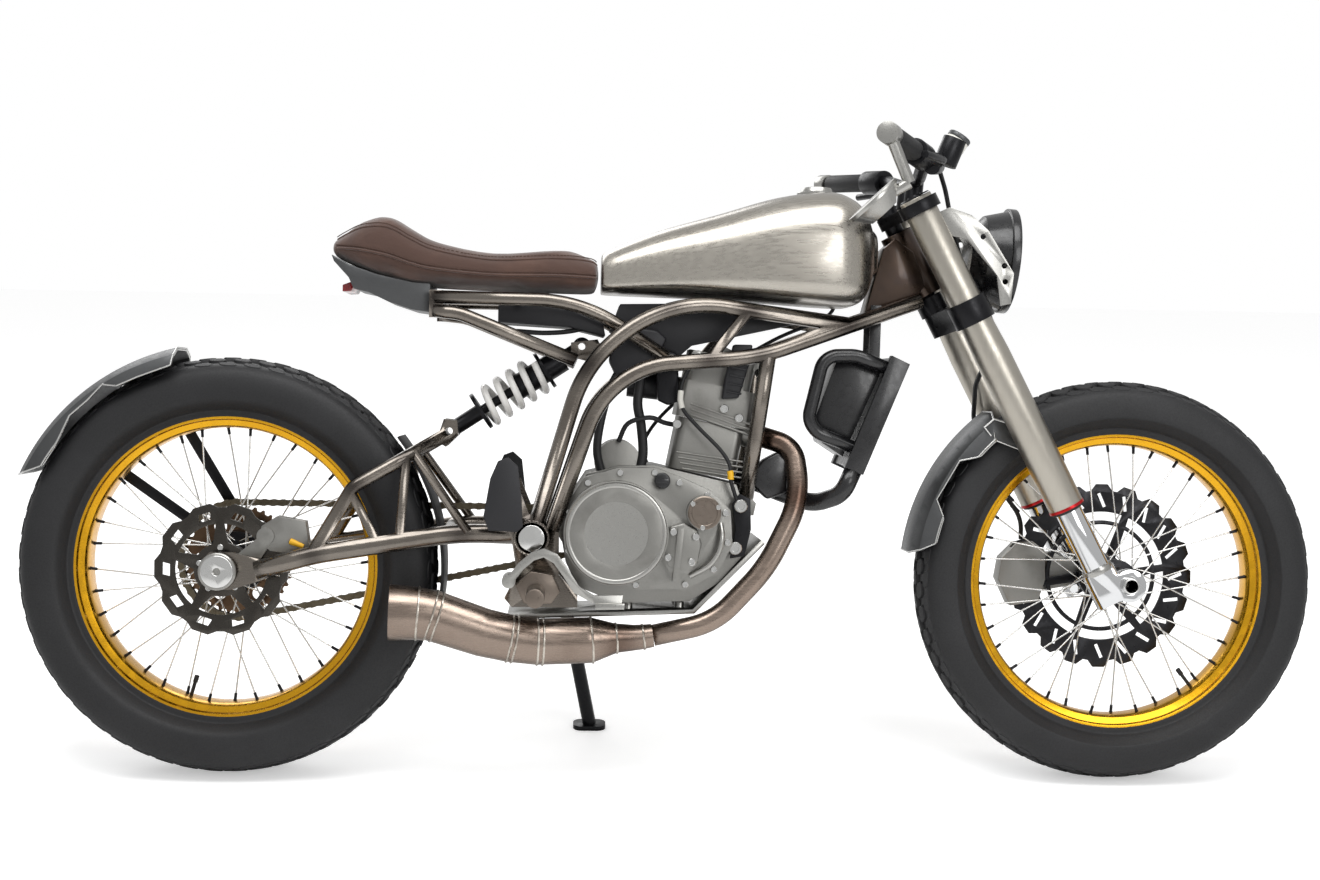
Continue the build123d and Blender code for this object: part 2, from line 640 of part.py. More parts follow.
def silencer():
    """Tapering silencer made of short mitred lengths, open at its tail."""
    way = (Vector(HEADER_ROUTE[-1]) - Vector(HEADER_ROUTE[-2])).normalized()
    start = Vector(HEADER_ROUTE[-1]) + way * SEAT_FIT
    sections = [Plane(origin=start, z_dir=way) * Circle(HEADER_R + 1.5)]
    # x, y, z of the middle line, radius
    rings = [(HEADER_ROUTE[-1]), (668, -108, 242, 22), (640, -109, 241, 24), (600, -111, 238, 37),
             (512, -116, 235, 37.5), (470, -120, 240, 38), (425, -124, 250, 39), (345, -132, 277, 41),
             (318, -134, 281, 42.5), (274, -136, 282, 45)]
    for n in range(1, len(rings)):
        before = Vector(*rings[n - 1][:3])
        after = Vector(*rings[min(n + 1, len(rings) - 1)][:3])
        sections.append(Plane(origin=rings[n][:3], z_dir=after - before) * Circle(rings[n][3]))
    body = loft(sections, ruled=True)
    tail, ahead = Vector(*rings[-1][:3]), Vector(*rings[-2][:3])
    inward = (ahead - tail).normalized()
    return body - rod(tail - inward * 5, tail + inward * 60, OUTLET_R)


def skid_plate():
    """Guard under the engine, on four posts."""
    sheet = plate([(462, 268), (768, 280), (882, 396), (876, 402), (765, 287), (462, 275.5)], -90, 90)
    posts = [rod((x, y, 278), (x, y, 296 - SEAT_FIT), 8) for x in (660, 745) for y in (-50, 50)]
    return fuse([sheet] + posts)


# Foot controls, guards, brakes and small pieces
def footrests():
    pieces = []
    for s in (1, -1):
        peg = rod((509, s * 150, 318), (509, s * 245, 318), 15)
        arm = plate([(476, 330), (500, 352), (536, 346), (548, 320), (534, 300), (490, 300)], s * 138 - 11.7,
                    s * 138 + 11.7)
        pieces.append(fuse([peg, arm]))
    return pieces


def heel_guards():
    """Upright guards beside the swingarm, each on two posts of the lower plate."""
    outline = [(432, 417), (424, 440), (434, 500), (446, 528), (462, 534), (478, 520), (484, 470), (487, 424),
               (478, 415)]
    guard_plate = plate(outline, -156, -151)
    posts = [rod((x, -152, z), (x, -126.3, z), 5) for x, z in ((465, 478), (464, 441))]
    return both(fuse([guard_plate] + posts))


def foot_levers():
    """Brake pedal on the right and gear lever on the left."""
    upper = [(461, 340), (482, 368), (501, 384), (522, 391), (543, 382), (562, 356), (578, 331), (602, 317),
             (648, 318)]
    lower = [(646, 306), (600, 305), (570, 321), (553, 346), (537, 368), (521, 377), (506, 372), (490, 358),
             (470, 332)]
    pedal = plate(upper + lower, -178, -168.6)
    shaft = rod((466, -178, 338), (466, -126.3, 338), 11)
    toe = plate([(604, 296), (604, 305.2), (650, 306.2), (650, 297)], -192, -160)
    gear = plate([(596, 344), (700, 318), (698, 308), (590, 330)], 158, 165)
    gear_shaft = rod((596, 126.3, 337), (596, 165, 337), 8)
    gear_toe = rod((694, 158, 313), (694, 196, 313), 8)
    return [fuse([pedal, shaft, toe]), fuse([gear, gear_shaft, gear_toe])]


GUARD_GAP = 14.0
REAR_GUARD_EDGE = [(-84, 760), (-84, 692), (-87, 673), (-140, 653), (-173, 638), (-197, 640), (-220, 614),
                   (-248, 589), (-264, 551), (-271, 537), (-289, 508), (-317, 498), (-400, 470), (-420, 760)]
FRONT_GUARD_EDGE = [(1268, 700), (1264, 622), (1262, 575), (1267, 566), (1239, 544), (1206, 536), (1169, 472),
                    (1180, 440), (1169, 400), (1123, 378), (1060, 374), (1060, 700)]


def guard(centre, crest, half, first, last, edge):
    """Mudguard: a bent sheet about the wheel, cut to its kinked lower edge."""
    outer = [(-half, crest - 34), (-half + 10, crest - 12), (-half * 0.5, crest), (half * 0.5, crest),
             (half - 10, crest - 12), (half, crest - 34)]
    inner = [(y * (1 - 3.0 / half), r - 3.0) for y, r in reversed(outer)]
    face = make_face(Polyline(*[(r, y, 0) for y, r in outer + inner], close=True))
    sweep_arc = revolve(face, Axis.Y, last - first)
    turned_arc = Pos(centre[0], 0, centre[1]) * Rot(Y=-last) * sweep_arc
    return turned_arc & plate(edge, -200, 200)


def rear_guards():
    crest = REAR_TYRE_R + GUARD_GAP + 10
    arc = guard(REAR_AXLE, crest, 84, 98, 162, REAR_GUARD_EDGE)
    foot = 121 + SEAT_FIT + 3.9
    struts = [flat_bar((26, foot, 362), (-146, 87.4, 660), 18, 4.5),
              flat_bar((-24, foot, 362), (-296, 87.6, 560), 18, 4.5)]
    return arc, struts


def flat_bar(start, end, wide, thick):
    """Flat bar from start to end, its wide side across the machine."""
    way = Vector(end) - Vector(start)
    place = Plane(origin=start, x_dir=way.cross(Vector(0, 1, 0)), z_dir=way)
    return place * extrude(Rectangle(wide, thick), amount=way.length)


def mud_flap():
    """Rubber flap between the rear tyre and the engine."""
    near, far = FLAP_R, FLAP_R + 5
    face = make_face(Polyline((near, -60, 0), (far, -60, 0), (far, 60, 0), (near, 60, 0), close=True))
    return Pos(REAR_AXLE[0], 0, REAR_AXLE[1]) * Rot(Y=-38) * revolve(face, Axis.Y, 48)


def front_guard():
    """Front mudguard with the brackets that hold it to the fork tubes."""
    crest = FRONT_TYRE_R + GUARD_GAP + 6
    sheet = guard(FRONT_AXLE, crest, 74, 118, 182, FRONT_GUARD_EDGE)
    bracket = plate([(1246, 592), (1262, 572), (1306, 556), (1324, 568), (1318, 590), (1262, 606)],
                    FRONT_TYRE_HALF + 5.2, FORK_HALF - FORK_LOW_R - SEAT_FIT)
    return fuse([sheet] + both(bracket))


def rear_caliper():
    outline = [(60, 392), (66, 416), (90, 432), (136, 424), (142, 384), (110, 372), (80, 376)]
    body = plate(outline, -104, -72)
    body -= plate([(0, 344), (60, 300), (118, 300), (118, 480), (40, 480)], REAR_DISC_Y - 8, REAR_DISC_Y + 8)
    cap = rod((73, -112, 400), (73, -103, 400), 14)
    arm = plate([(20, 352), (30, 372), (66, 402), (84, 392), (60, 356)], -104.4, -97.6)
    return fuse([body, cap, arm]) - rod((0, -200, 344), (0, 200, 344), 20)


def front_caliper():
    """Calliper over the front disc, on an arm from the left leg's foot."""
    outline = [(1300, 330), (1306, 366), (1332, 392), (1358, 396), (1380, 380), (1382, 330), (1370, 292),
               (1322, 284)]
    body = plate(outline, 48, 90)
    x, z = FRONT_AXLE
    body -= rod((x, FRONT_DISC_Y - 8, z), (x, FRONT_DISC_Y + 8, z), FRONT_DISC_R + 6)
    foot_side = FORK_HALF - FOOT_HALF - SEAT_FIT
    arm = plate([(1370, 306), (1370, 376), (1400, 376), (1456, 348), (1456, 322)], FRONT_DISC_Y + 8, foot_side)
    arm -= rod(fork(OUTER_END_AT, FORK_OFFSET, FORK_HALF), fork(FOOT_AT + 6, FORK_OFFSET, FORK_HALF),
               STANCHION_R + SEAT_FIT)
    return fuse([body, arm])


def tools_tray():
    """Battery and control box hung under the seat rails."""
    return plate([(440, 752), (440, 781.7), (500, 781.7), (560, 774), (612, 752), (616, 732), (556, 746)], -70, 70)


# Fork and handlebar
def fork_outers():
    legs = []
    for s in (1, -1):
        a, b, c, d = [fork(at, FORK_OFFSET, s * FORK_HALF) for at in (FORK_CAP_AT, 242, 300, OUTER_END_AT)]
        leg = fuse([rod(a, b, FORK_TOP_R), rod(b, c, FORK_TOP_R, FORK_LOW_R), rod(c, d, FORK_LOW_R)])
        legs.append(leg)
    return legs


def fork_legs():
    legs = []
    for s in (1, -1):
        y = s * FORK_HALF
        x, z = FRONT_AXLE
        clamp = rod(fork(FOOT_AT, FORK_OFFSET, y), fork(FOOT_END, FORK_OFFSET, y), 28)
        clamp &= plate([(1380, 260), (1380, 420), (1540, 420), (1540, 260)], y - FOOT_HALF, y + FOOT_HALF)
        foot = fuse([
            rod(fork(OUTER_END_AT + SEAT_FIT, FORK_OFFSET, y), fork(FOOT_AT + 4, FORK_OFFSET, y), STANCHION_R),
            clamp,
            rod((x, y - FOOT_HALF, z), (x, y + FOOT_HALF, z), 27),
            plate([(1440, 308), (1444, 352), (1482, 360), (1482, 312)], y - 16, y + 16),
        ])
        legs.append(foot - rod((x, -200, z), (x, 200, z), FRONT_AXLE_R + RUN_FIT))
    return legs


def front_axle():
    x, z = FRONT_AXLE
    axle = [rod((x, -128, z), (x, 128, z), FRONT_AXLE_R)]
    axle += both(rod((x, 70.6, z), (x, FORK_HALF - FOOT_HALF - SEAT_FIT, z), 18))
    return fuse(axle) - rod((x, -200, z), (x, 200, z), FRONT_AXLE_BORE)


def yokes():
    """Top and bottom yokes on the steering stem, bored for the fork tubes."""
    def outline(down, thick):
        web = make_face(Polyline((-14, -14), (-14, 14), (8, 80), (FORK_OFFSET + 22, 84), (FORK_OFFSET + 18, 40),
                                 (FORK_OFFSET + 12, 0), (FORK_OFFSET + 18, -40), (FORK_OFFSET + 22, -84),
                                 (8, -80), close=True))
        clamps = [Pos(FORK_OFFSET, s * FORK_HALF) * Circle(FORK_TOP_R + 7) for s in (1, -1)]
        face = web + Circle(STEM_R + 5) + clamps
        face -= [Pos(FORK_OFFSET, s * FORK_HALF) * Circle(FORK_TOP_R + 0.02) for s in (1, -1)]
        return fork_plane(down) * extrude(face, amount=thick)
    top = outline(20, 20)
    low = outline(200, 40)
    collar = rod(fork(HEAD_TUBE_TO + 4, 0, 0), fork(202, 0, 0), 24)
    stem = rod(fork(6, 0, 0), fork(236, 0, 0), STEM_R)
    nut = rod(fork(4, 0, 0), fork(21, 0, 0), 19)
    risers = [rod(fork(24, 38, s * 36), Vector(1128, s * 36, 1004), 15) for s in (1, -1)]
    return fuse([top, low, collar, stem, nut] + risers) - handlebar(SEAT_FIT)


BAR_BEND = Vector(1118, 180, 1020)
BAR_END = Vector(1036, 352, 1033)


def flipped(point):
    return Vector(point.X, -point.Y, point.Z)


def handlebar(grow=0.0):
    points = [flipped(BAR_END), flipped(BAR_BEND), Vector(1128, -70, 1000), Vector(1128, 70, 1000), BAR_BEND,
              BAR_END]
    return pipe(points, [70, 70, 70, 70], BAR_R + grow)


def bar_point(share):
    """Point of the left straight part of the bar, from its bend (0) to its end (1)."""
    return BAR_BEND + (BAR_END - BAR_BEND) * share


def grips():
    grip = rod(bar_point(0.36), bar_point(0.96), GRIP_R)
    grip -= rod(bar_point(0.2), bar_point(1.1), BAR_R + 0.02)
    return both(grip)


def bar_weights():
    weight = rod(bar_point(1.0) + (BAR_END - BAR_BEND).normalized() * 0.3,
                 bar_point(1.0) + (BAR_END - BAR_BEND).normalized() * 26, 17)
    return weight


def mirrors():
    """Bar-end mirrors: an arm from the bar's end and a domed head below it."""
    end = bar_point(1.0) + (BAR_END - BAR_BEND).normalized() * 13
    elbow = Vector(1062, 360, 962)
    head = Vector(1010, 352, 934)
    facing = Vector(-0.69, 0, 0.72)
    dome = Plane(origin=head - facing * 12, z_dir=facing) * Cone(24, 46, 24)
    glass = Plane(origin=head + facing * 1.5, z_dir=facing) * Cylinder(46, 6)
    weight = bar_weights()
    arm = [weight, rod(end, elbow, 9), rod(elbow, head - facing * 4, 9, 6), dome, glass]
    return both(fuse(arm))


def hand_controls():
    """Levers, their clamps, master cylinder, switch housings and the instrument."""
    housing = rod(bar_point(0.06), bar_point(0.335), 21)
    lever = pipe([bar_point(0.16) + Vector(26, 0, -6), bar_point(0.4) + Vector(52, 0, -16),
                  bar_point(0.92) + Vector(46, 0, -24)], [60], 6)
    perch = rod(bar_point(0.17), bar_point(0.16) + Vector(32, 0, -7), 10)
    left = fuse([housing, perch, lever])
    tank = rod((1150, -176, 1012), (1166, -176, 1052), 19)
    cylinder_body = rod((1126, -196, 1006), MASTER_END, 13)
    right = fuse([mirror(left, about=Plane.XZ), tank, cylinder_body])
    return [left - handlebar(0.04), right - handlebar(0.04)]


LAMP_MIDDLE = Vector(1290, 0, 872)


def headlamp_shell():
    """Lamp bowl with a bezel, under a small screen."""
    profile = [(0, 0), (44, 0), (72, -22), (83, -60), (88, -60), (88, -74), (78, -74), (68, -30), (40, -8), (0, -8)]
    face = make_face(Polyline(*[(r, 0, -z) for r, z in profile], close=True))
    facing = Vector(1, 0, -0.08)
    back = LAMP_MIDDLE - facing * 66
    bowl = Plane(origin=back, x_dir=(0, 1, 0), z_dir=facing) * revolve(face, Axis.Z, 360)
    return bowl


def headlamp_lens():
    facing = Vector(1, 0, -0.08).normalized()
    back = LAMP_MIDDLE - Vector(1, 0, -0.08) * 66
    seat_at = back + facing * 60
    glass = Cone(74.3, 77.4, 14, align=(Align.CENTER, Align.CENTER, Align.MIN))
    front = Pos(0, 0, 14) * Cone(77.4, 40, 9, align=(Align.CENTER, Align.CENTER, Align.MIN))
    return Plane(origin=seat_at, z_dir=facing) * (glass + front)


def lamp_brackets():
    """Drilled plates from the fork tubes forward to the lamp."""
    outline = [(1150, 940), (1176, 952), (1212, 940), (1241, 915), (1284, 846), (1280, 796), (1262, 792),
               (1256, 842), (1206, 900), (1166, 908)]
    pieces = []
    for s in (1, -1):
        leg = rod(fork(0, FORK_OFFSET, s * FORK_HALF), fork(240, FORK_OFFSET, s * FORK_HALF), FORK_TOP_R + SEAT_FIT)
        arm = plate(outline, s * LAMP_ARM_Y - 3, s * LAMP_ARM_Y + 3)
        holes = [rod((x, -150, z), (x, 150, z), 4.5) for x, z in ((1232, 905), (1268, 858), (1270, 832))]
        for hole in holes:
            arm -= hole
        pieces.append(arm - leg)
    return pieces


def front_brake_hose():
    """Hose from the lever's cylinder, down behind the lamp and the left leg, to the calliper."""
    way = (MASTER_END - Vector(1126, -196, 1006)).normalized()
    route = [MASTER_END + way * SEAT_FIT, MASTER_END + way * 30, (1176, -52, 984), (1188, -50, 930),
             (1204, -58, 862), (1238, -66, 806), (1264, -56, 752), fork(310, 42, -8), fork(345, 16, 44),
             fork(400, -8, 76), fork(470, -14, 86), fork(550, -16, 86), (1346, 83, 438), (1346, 83, 396.4)]
    return pipe(route, [24, 30, 120, 90, 90, 40, 60, 50, 60, 90, 200, 60], 4, 6)


def side_stand():
    way = Vector(STAND_WAY).normalized()
    pivot = Vector(STAND_PIVOT)
    tilt = tan(radians(LEAN))
    reach = (pivot.Z - (pivot.Y - CROWN_HALF) * tilt - STAND_PAD) / (-way.Z + way.Y * tilt)
    foot = pivot + way * reach
    eye = rod(stand_point(-8.5), stand_point(8.5), 15)
    leg = fuse([rod(pivot + way * 6, pivot + way * 46, 8, STAND_R), rod(pivot + way * 46, foot, STAND_R)])
    ground = Plane(origin=foot, x_dir=(1, 0, 0), z_dir=(0, sin(radians(LEAN)), -cos(radians(LEAN))))
    pad = ground * extrude(fillet(Rectangle(58, 44).vertices(), 16), amount=STAND_PAD * cos(radians(LEAN)))
    spur = rod(pivot + way * (reach * 0.62), pivot + way * (reach * 0.62) + Vector(STAND_AXIS) * 34, 5)
    return fuse([eye, leg, pad, spur]) - rod(stand_point(-30), stand_point(30), STAND_PIN_R + RUN_FIT)


def stand_pin():
    """Lug and pin on the frame's left plate, on which the stand turns."""
    place = Plane(origin=stand_point(-14), x_dir=(1, 0, 0), z_dir=STAND_AXIS)
    outline = Polyline((-14, -48), (14, -48), (14, 2), (9, 11), (0, 15), (-9, 11), (-14, 2), close=True)
    strip = place * extrude(make_face(outline), amount=4.5)
    shelf = plate([(544, 295), (544, 313), (574.5, 313), (574.5, 295)], 84, 121)
    pin = rod(stand_point(-12), stand_point(12), STAND_PIN_R)
    head = rod(stand_point(9.5), stand_point(13), 10)
    return fuse([strip, shelf, pin, head])


def build():
    left = frame_side()
    right = mirror(left, about=Plane.XZ)
    head = steering_head()
    nodes = {}
    nodes["frame_left"] = fuse([left, stand_pin()]) - head
    nodes["frame_right"] = right - head
    nodes["steering_head"] = head
    nodes["cross_members"] = cross_members((left, right))
    rails = seat_rails()
    for piece in (left, right) + tuple(nodes["cross_members"]):
        rails -= piece
    nodes["seat_rails"] = rails
    nodes["swingarm"] = swingarm()
    nodes["rear_axle"] = rear_axle()
    nodes["pivot_bolt"] = pivot_bolt()
    nodes["shock_absorber"] = shock()
    nodes["shock_spring"] = shock_spring()
    nodes["fuel_tank"] = fuel_tank()
    nodes["seat"] = seat()
    nodes["tail_unit"] = tail_unit()
    nodes["tail_lamp"] = tail_lamp()
    nodes["crankcase"] = crankcase()
    nodes["cylinder"] = cylinder()
    nodes["cylinder_head"] = cylinder_head()
    nodes["clutch_cover"] = clutch_cover()
    nodes["left_covers"] = left_covers()
    nodes["intake"] = intake()
    nodes["radiator"] = radiator()
    nodes["coolant_hoses"] = coolant_hoses()
    nodes["exhaust_header"] = exhaust_header()
    nodes["silencer"] = silencer()
    nodes["skid_plate"] = skid_plate()
    nodes["footrests"] = footrests()
    nodes["heel_guards"] = heel_guards()
    nodes["foot_levers"] = foot_levers()
    arc, struts = rear_guards()
    nodes["rear_mudguard"] = arc
    nodes["mudguard_struts"] = struts
    nodes["mud_flap"] = mud_flap()
    nodes["rear_caliper"] = rear_caliper()
    nodes["electrics"] = tools_tray()
    nodes["chain"] = chain()
    nodes["fork_outers"] = fork_outers()
    nodes["fork_legs"] = fork_legs()
    nodes["front_axle"] = front_axle()
    nodes["yokes"] = yokes()
    nodes["handlebar"] = handlebar()
    nodes["grips"] = grips()
    nodes["mirrors"] = mirrors()
    nodes["hand_controls"] = hand_controls()
    nodes["headlamp_shell"] = headlamp_shell()
    nodes["headlamp_lens"] = headlamp_lens()
    nodes["lamp_brackets"] = lamp_brackets()
    nodes["front_mudguard"] = front_guard()
    nodes["front_caliper"] = front_caliper()
    nodes["front_brake_hose"] = front_brake_hose()
    nodes.update(front_wheel())
    nodes.update(rear_wheel())
    nodes["side_stand"] = side_stand()
    return nodes


def as_solids(shape):
    """All solids of a piece, or of a list of pieces."""
    pieces = shape if isinstance(shape, list) else [shape]
    return [solid for piece in pieces for solid in piece.solids()]


def park(nodes):
    """Lean the machine to its left and put the origin at the bottom centre of its box."""
    leaned = {name: Compound([Rot(X=-LEAN) * s for s in as_solids(shape)]) for name, shape in nodes.items()}
    boxes = [shape.bounding_box() for shape in leaned.values()]
    low = [min(getattr(box.min, k) for box in boxes) for k in "XYZ"]
    high = [max(getattr(box.max, k) for box in boxes) for k in "XYZ"]
    shift = Pos(-(low[0] + high[0]) / 2, -(low[1] + high[1]) / 2, -low[2])
    return {name: shift * shape for name, shape in leaned.items()}, shift


nodes = build()
parked, shift = park(nodes)
os.makedirs("parts", exist_ok=True)
for name, shape in parked.items():
    export_step(shape, f"parts/{name}.step")
print("nodes", len(parked), "solids", sum(len(s.solids()) for s in parked.values()), "shift", shift.position)
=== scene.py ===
# %% [markdown]
# # Cafe racer motorcycle, dressed for the studio
# The engineered model gives every tube, cover and joint its place. This lesson copies those
# solids, softens their edges, and adds what a solid model leaves out: tread blocks, chain links,
# a real coil spring, weld beads, stitched suede and brushed metal.

# %% Load the frame
import json
from math import atan2, ceil, cos, hypot, pi, radians, sin

import bmesh
import bpy
from mathutils import Matrix, Vector

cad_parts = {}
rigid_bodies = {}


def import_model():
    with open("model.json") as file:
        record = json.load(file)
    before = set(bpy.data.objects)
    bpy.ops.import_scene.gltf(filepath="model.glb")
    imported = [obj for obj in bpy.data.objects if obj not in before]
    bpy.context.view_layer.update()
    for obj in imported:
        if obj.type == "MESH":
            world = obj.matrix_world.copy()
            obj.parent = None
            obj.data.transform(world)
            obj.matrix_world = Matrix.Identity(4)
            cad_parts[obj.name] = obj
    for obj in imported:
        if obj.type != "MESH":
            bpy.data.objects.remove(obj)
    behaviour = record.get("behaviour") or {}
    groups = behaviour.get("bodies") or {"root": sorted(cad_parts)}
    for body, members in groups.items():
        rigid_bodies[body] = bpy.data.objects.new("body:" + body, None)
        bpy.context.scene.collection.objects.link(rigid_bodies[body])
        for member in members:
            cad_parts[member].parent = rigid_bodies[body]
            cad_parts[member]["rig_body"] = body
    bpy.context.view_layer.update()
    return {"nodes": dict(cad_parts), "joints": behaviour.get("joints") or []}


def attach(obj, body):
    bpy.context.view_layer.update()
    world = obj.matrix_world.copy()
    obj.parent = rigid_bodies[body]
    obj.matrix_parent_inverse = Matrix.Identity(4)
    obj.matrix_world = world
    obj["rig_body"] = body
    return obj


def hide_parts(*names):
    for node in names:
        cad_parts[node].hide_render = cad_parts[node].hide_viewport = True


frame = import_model()
JOINTS = {joint["name"]: joint for joint in frame["joints"]}

# %% [markdown]
# The motorcycle leans on its side stand. Drawing each detail in leaned metres would be awkward,
# so every point here is written for the upright machine in millimetres: X forward from the rear
# axle, Y to the rider's left, Z up from the ground. The rear wheel's own axle, read from the
# frame, tells how far the machine leans and where it stands.

# %% Upright millimetres to the parked frame
REAR_TYRE_R = 344.0
FRONT_TYRE_R = 336.0
WHEELBASE = 1482.0
REAR_AXLE = Vector((0.0, 0.0, REAR_TYRE_R))
FRONT_AXLE = Vector((WHEELBASE, 0.0, FRONT_TYRE_R))

axle_way = Vector(JOINTS["rear_wheel_spin"]["axis"])
LEAN = atan2(-axle_way.z, axle_way.y)
PARK = (Matrix.Translation(JOINTS["rear_wheel_spin"]["pos_m"]) @ Matrix.Rotation(-LEAN, 4, "X")
        @ Matrix.Translation(-REAR_AXLE / 1000))
PARK_MM = PARK @ Matrix.Scale(0.001, 4)
BODY_OF = {name: node["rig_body"] for name, node in frame["nodes"].items()}
print("lean in degrees", round(LEAN * 180 / pi, 2))

# %% [markdown]
# Most shapes on a motorcycle are bars, bent tubes, turned rings and cut plates. A small class
# gathers their corners and faces, so that one mesh can hold many of them.

# %% Form: corners and faces gathered in upright millimetres
def unit(way):
    return Vector(way).normalized()


def cross_axes(way):
    """Two directions square to way and to each other."""
    way = unit(way)
    help_way = Vector((0, 1, 0)) if abs(way.y) < 0.9 else Vector((1, 0, 0))
    side = way.cross(help_way).normalized()
    return side, way.cross(side).normalized()


class Form:
    def __init__(self):
        self.corners, self.faces, self.marks = [], [], []
        self.mark = 0

    def add(self, corners, faces):
        base = len(self.corners)
        self.corners += [Vector(c) for c in corners]
        self.faces += [tuple(base + i for i in face) for face in faces]
        self.marks += [self.mark] * len(faces)
        return self

    def skin(self, rings, loop=False, caps=True):
        """Joins rings of equally many points with quads."""
        count = len(rings[0])
        corners = [p for ring in rings for p in ring]
        spans = len(rings) if loop else len(rings) - 1
        faces = []
        for r in range(spans):
            a, b = r * count, ((r + 1) % len(rings)) * count
            faces += [(a + i, a + (i + 1) % count, b + (i + 1) % count, b + i) for i in range(count)]
        if caps and not loop:
            faces += [tuple(range(count))[::-1], tuple(range(len(corners) - count, len(corners)))]
        return self.add(corners, faces)

    def turned(self, profile, origin, way=(0, 1, 0), sides=48, loop=False):
        """Turns a profile of (along, radius) pairs about an axis. A loop is a closed ring."""
        side, up = cross_axes(way)
        way, origin = unit(way), Vector(origin)
        rings = []
        for along, radius in profile:
            ring = []
            for n in range(sides):
                t = 2 * pi * n / sides
                ring.append(origin + way * along + (side * cos(t) + up * sin(t)) * max(radius, 0.01))
            rings.append(ring)
        return self.skin(rings, loop=loop)

    def rod(self, start, end, radius, end_radius=None, sides=20):
        start, end = Vector(start), Vector(end)
        last = radius if end_radius is None else end_radius
        return self.turned([(0, radius), ((end - start).length, last)], start, end - start, sides)

    def sweep(self, path, radius, sides=16):
        """Tube along a path of points that are close together."""
        path = [Vector(p) for p in path]
        way = unit(path[1] - path[0])
        side, _ = cross_axes(way)
        rings = []
        for n, point in enumerate(path):
            ahead = path[min(n + 1, len(path) - 1)] - path[max(n - 1, 0)]
            way = unit(ahead)
            side = (side - way * side.dot(way)).normalized()
            up = way.cross(side)
            size = radius[n] if isinstance(radius, (list, tuple)) else radius
            rings.append([point + (side * cos(2 * pi * k / sides) + up * sin(2 * pi * k / sides)) * size
                          for k in range(sides)])
        return self.skin(rings)

    def plate(self, outline, y_from, y_to):
        """Flat piece with an outline of (x, z) points."""
        return self.skin([[(x, y, z) for x, z in outline] for y in (y_from, y_to)])


def flowing(points, step=8.0):
    """Smooth path through points, as a hose hangs."""
    points = [Vector(p) for p in points]
    ends = [points[0] * 2 - points[1]] + points + [points[-1] * 2 - points[-2]]
    path = []
    for n in range(1, len(ends) - 2):
        a, b, c, d = ends[n - 1:n + 3]
        pieces = max(2, ceil((c - b).length / step))
        for k in range(pieces):
            t = k / pieces
            path.append(((b * 2) + (c - a) * t + (a * 2 - b * 5 + c * 4 - d) * t ** 2
                         + (b * 3 - a - c * 3 + d) * t ** 3) / 2)
    return path + [points[-1]]


def spread(rows, pieces):
    """Rows of numbers filled in smoothly, so that few sections give a flowing body."""
    filled = []
    for n in range(len(rows) - 1):
        a, b = rows[max(n - 1, 0)], rows[n]
        c, d = rows[n + 1], rows[min(n + 2, len(rows) - 1)]
        for k in range(pieces):
            t = k / pieces
            filled.append([(2 * q + (r - p) * t + (2 * p - 5 * q + 4 * r - s) * t ** 2
                            + (3 * q - p - 3 * r + s) * t ** 3) / 2 for p, q, r, s in zip(a, b, c, d)])
    return filled + [list(rows[-1])]


# %% [markdown]
# A finished piece sits at the origin with its place in its mesh. Its modifiers are made part of
# the mesh first, and its faces are turned outwards.


# %% From a form to a piece that rides on a body
def settled(obj):
    """Replaces the mesh by what its modifiers make of it, and drops them."""
    graph = bpy.context.evaluated_depsgraph_get()
    mesh = bpy.data.meshes.new_from_object(obj.evaluated_get(graph))
    obj.modifiers.clear()
    obj.data = mesh
    return mesh


def soften(obj, width, segments, angle):
    """Rounds the edges of a piece and evens its shading."""
    if width:
        bevel = obj.modifiers.new("edges", "BEVEL")
        bevel.width = width / 1000
        bevel.segments = segments
        bevel.limit_method = "ANGLE"
        bevel.angle_limit = radians(angle)
        bevel.harden_normals = False
    mesh = settled(obj)
    mesh.shade_smooth()
    mesh.set_sharp_from_angle(angle=radians(angle))


def outwards(mesh, merge):
    """Turns all faces outwards, after merging corners closer than merge."""
    work = bmesh.new()
    work.from_mesh(mesh)
    if merge:
        bmesh.ops.remove_doubles(work, verts=work.verts, dist=merge)
    bmesh.ops.recalc_face_normals(work, faces=work.faces)
    work.to_mesh(mesh)
    work.free()


def place(obj, body, stands_for=()):
    """Lets a piece ride on a body, in the place of the solids that it stands for."""
    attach(obj, body)
    if stands_for:
        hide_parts(*stands_for)
    return obj


def make(name, form, body, finishes, stands_for=(), bevel=0.0, segments=2, angle=38, merge=0.0):
    """Piece from a form: its marks choose among the finishes."""
    mesh = bpy.data.meshes.new(name)
    mesh.from_pydata([PARK_MM @ c for c in form.corners], [], form.faces)
    for finish in finishes if isinstance(finishes, list) else [finishes]:
        mesh.materials.append(finish)
    mesh.polygons.foreach_set("material_index", form.marks)
    outwards(mesh, merge / 1000)
    obj = bpy.data.objects.new(name, mesh)
    bpy.context.scene.collection.objects.link(obj)
    soften(obj, bevel, segments, angle)
    return place(obj, body, stands_for)


def copied(node, finish, bevel=0.7, angle=34, name=None):
    """Copy of an engineered solid with merged corners, softer edges and a new finish."""
    obj = bpy.data.objects.new(name or node + "_fine", frame["nodes"][node].data.copy())
    bpy.context.scene.collection.objects.link(obj)
    obj.data.materials.clear()
    obj.data.materials.append(finish)
    work = bmesh.new()
    work.from_mesh(obj.data)
    bmesh.ops.remove_doubles(work, verts=work.verts, dist=2e-6)
    if bevel:
        bmesh.ops.dissolve_limit(work, angle_limit=radians(0.6), verts=work.verts, edges=work.edges)
    work.to_mesh(obj.data)
    work.free()
    obj.data.polygons.foreach_set("material_index", [0] * len(obj.data.polygons))
    soften(obj, bevel, 2, angle)
    return place(obj, BODY_OF[node], [node])


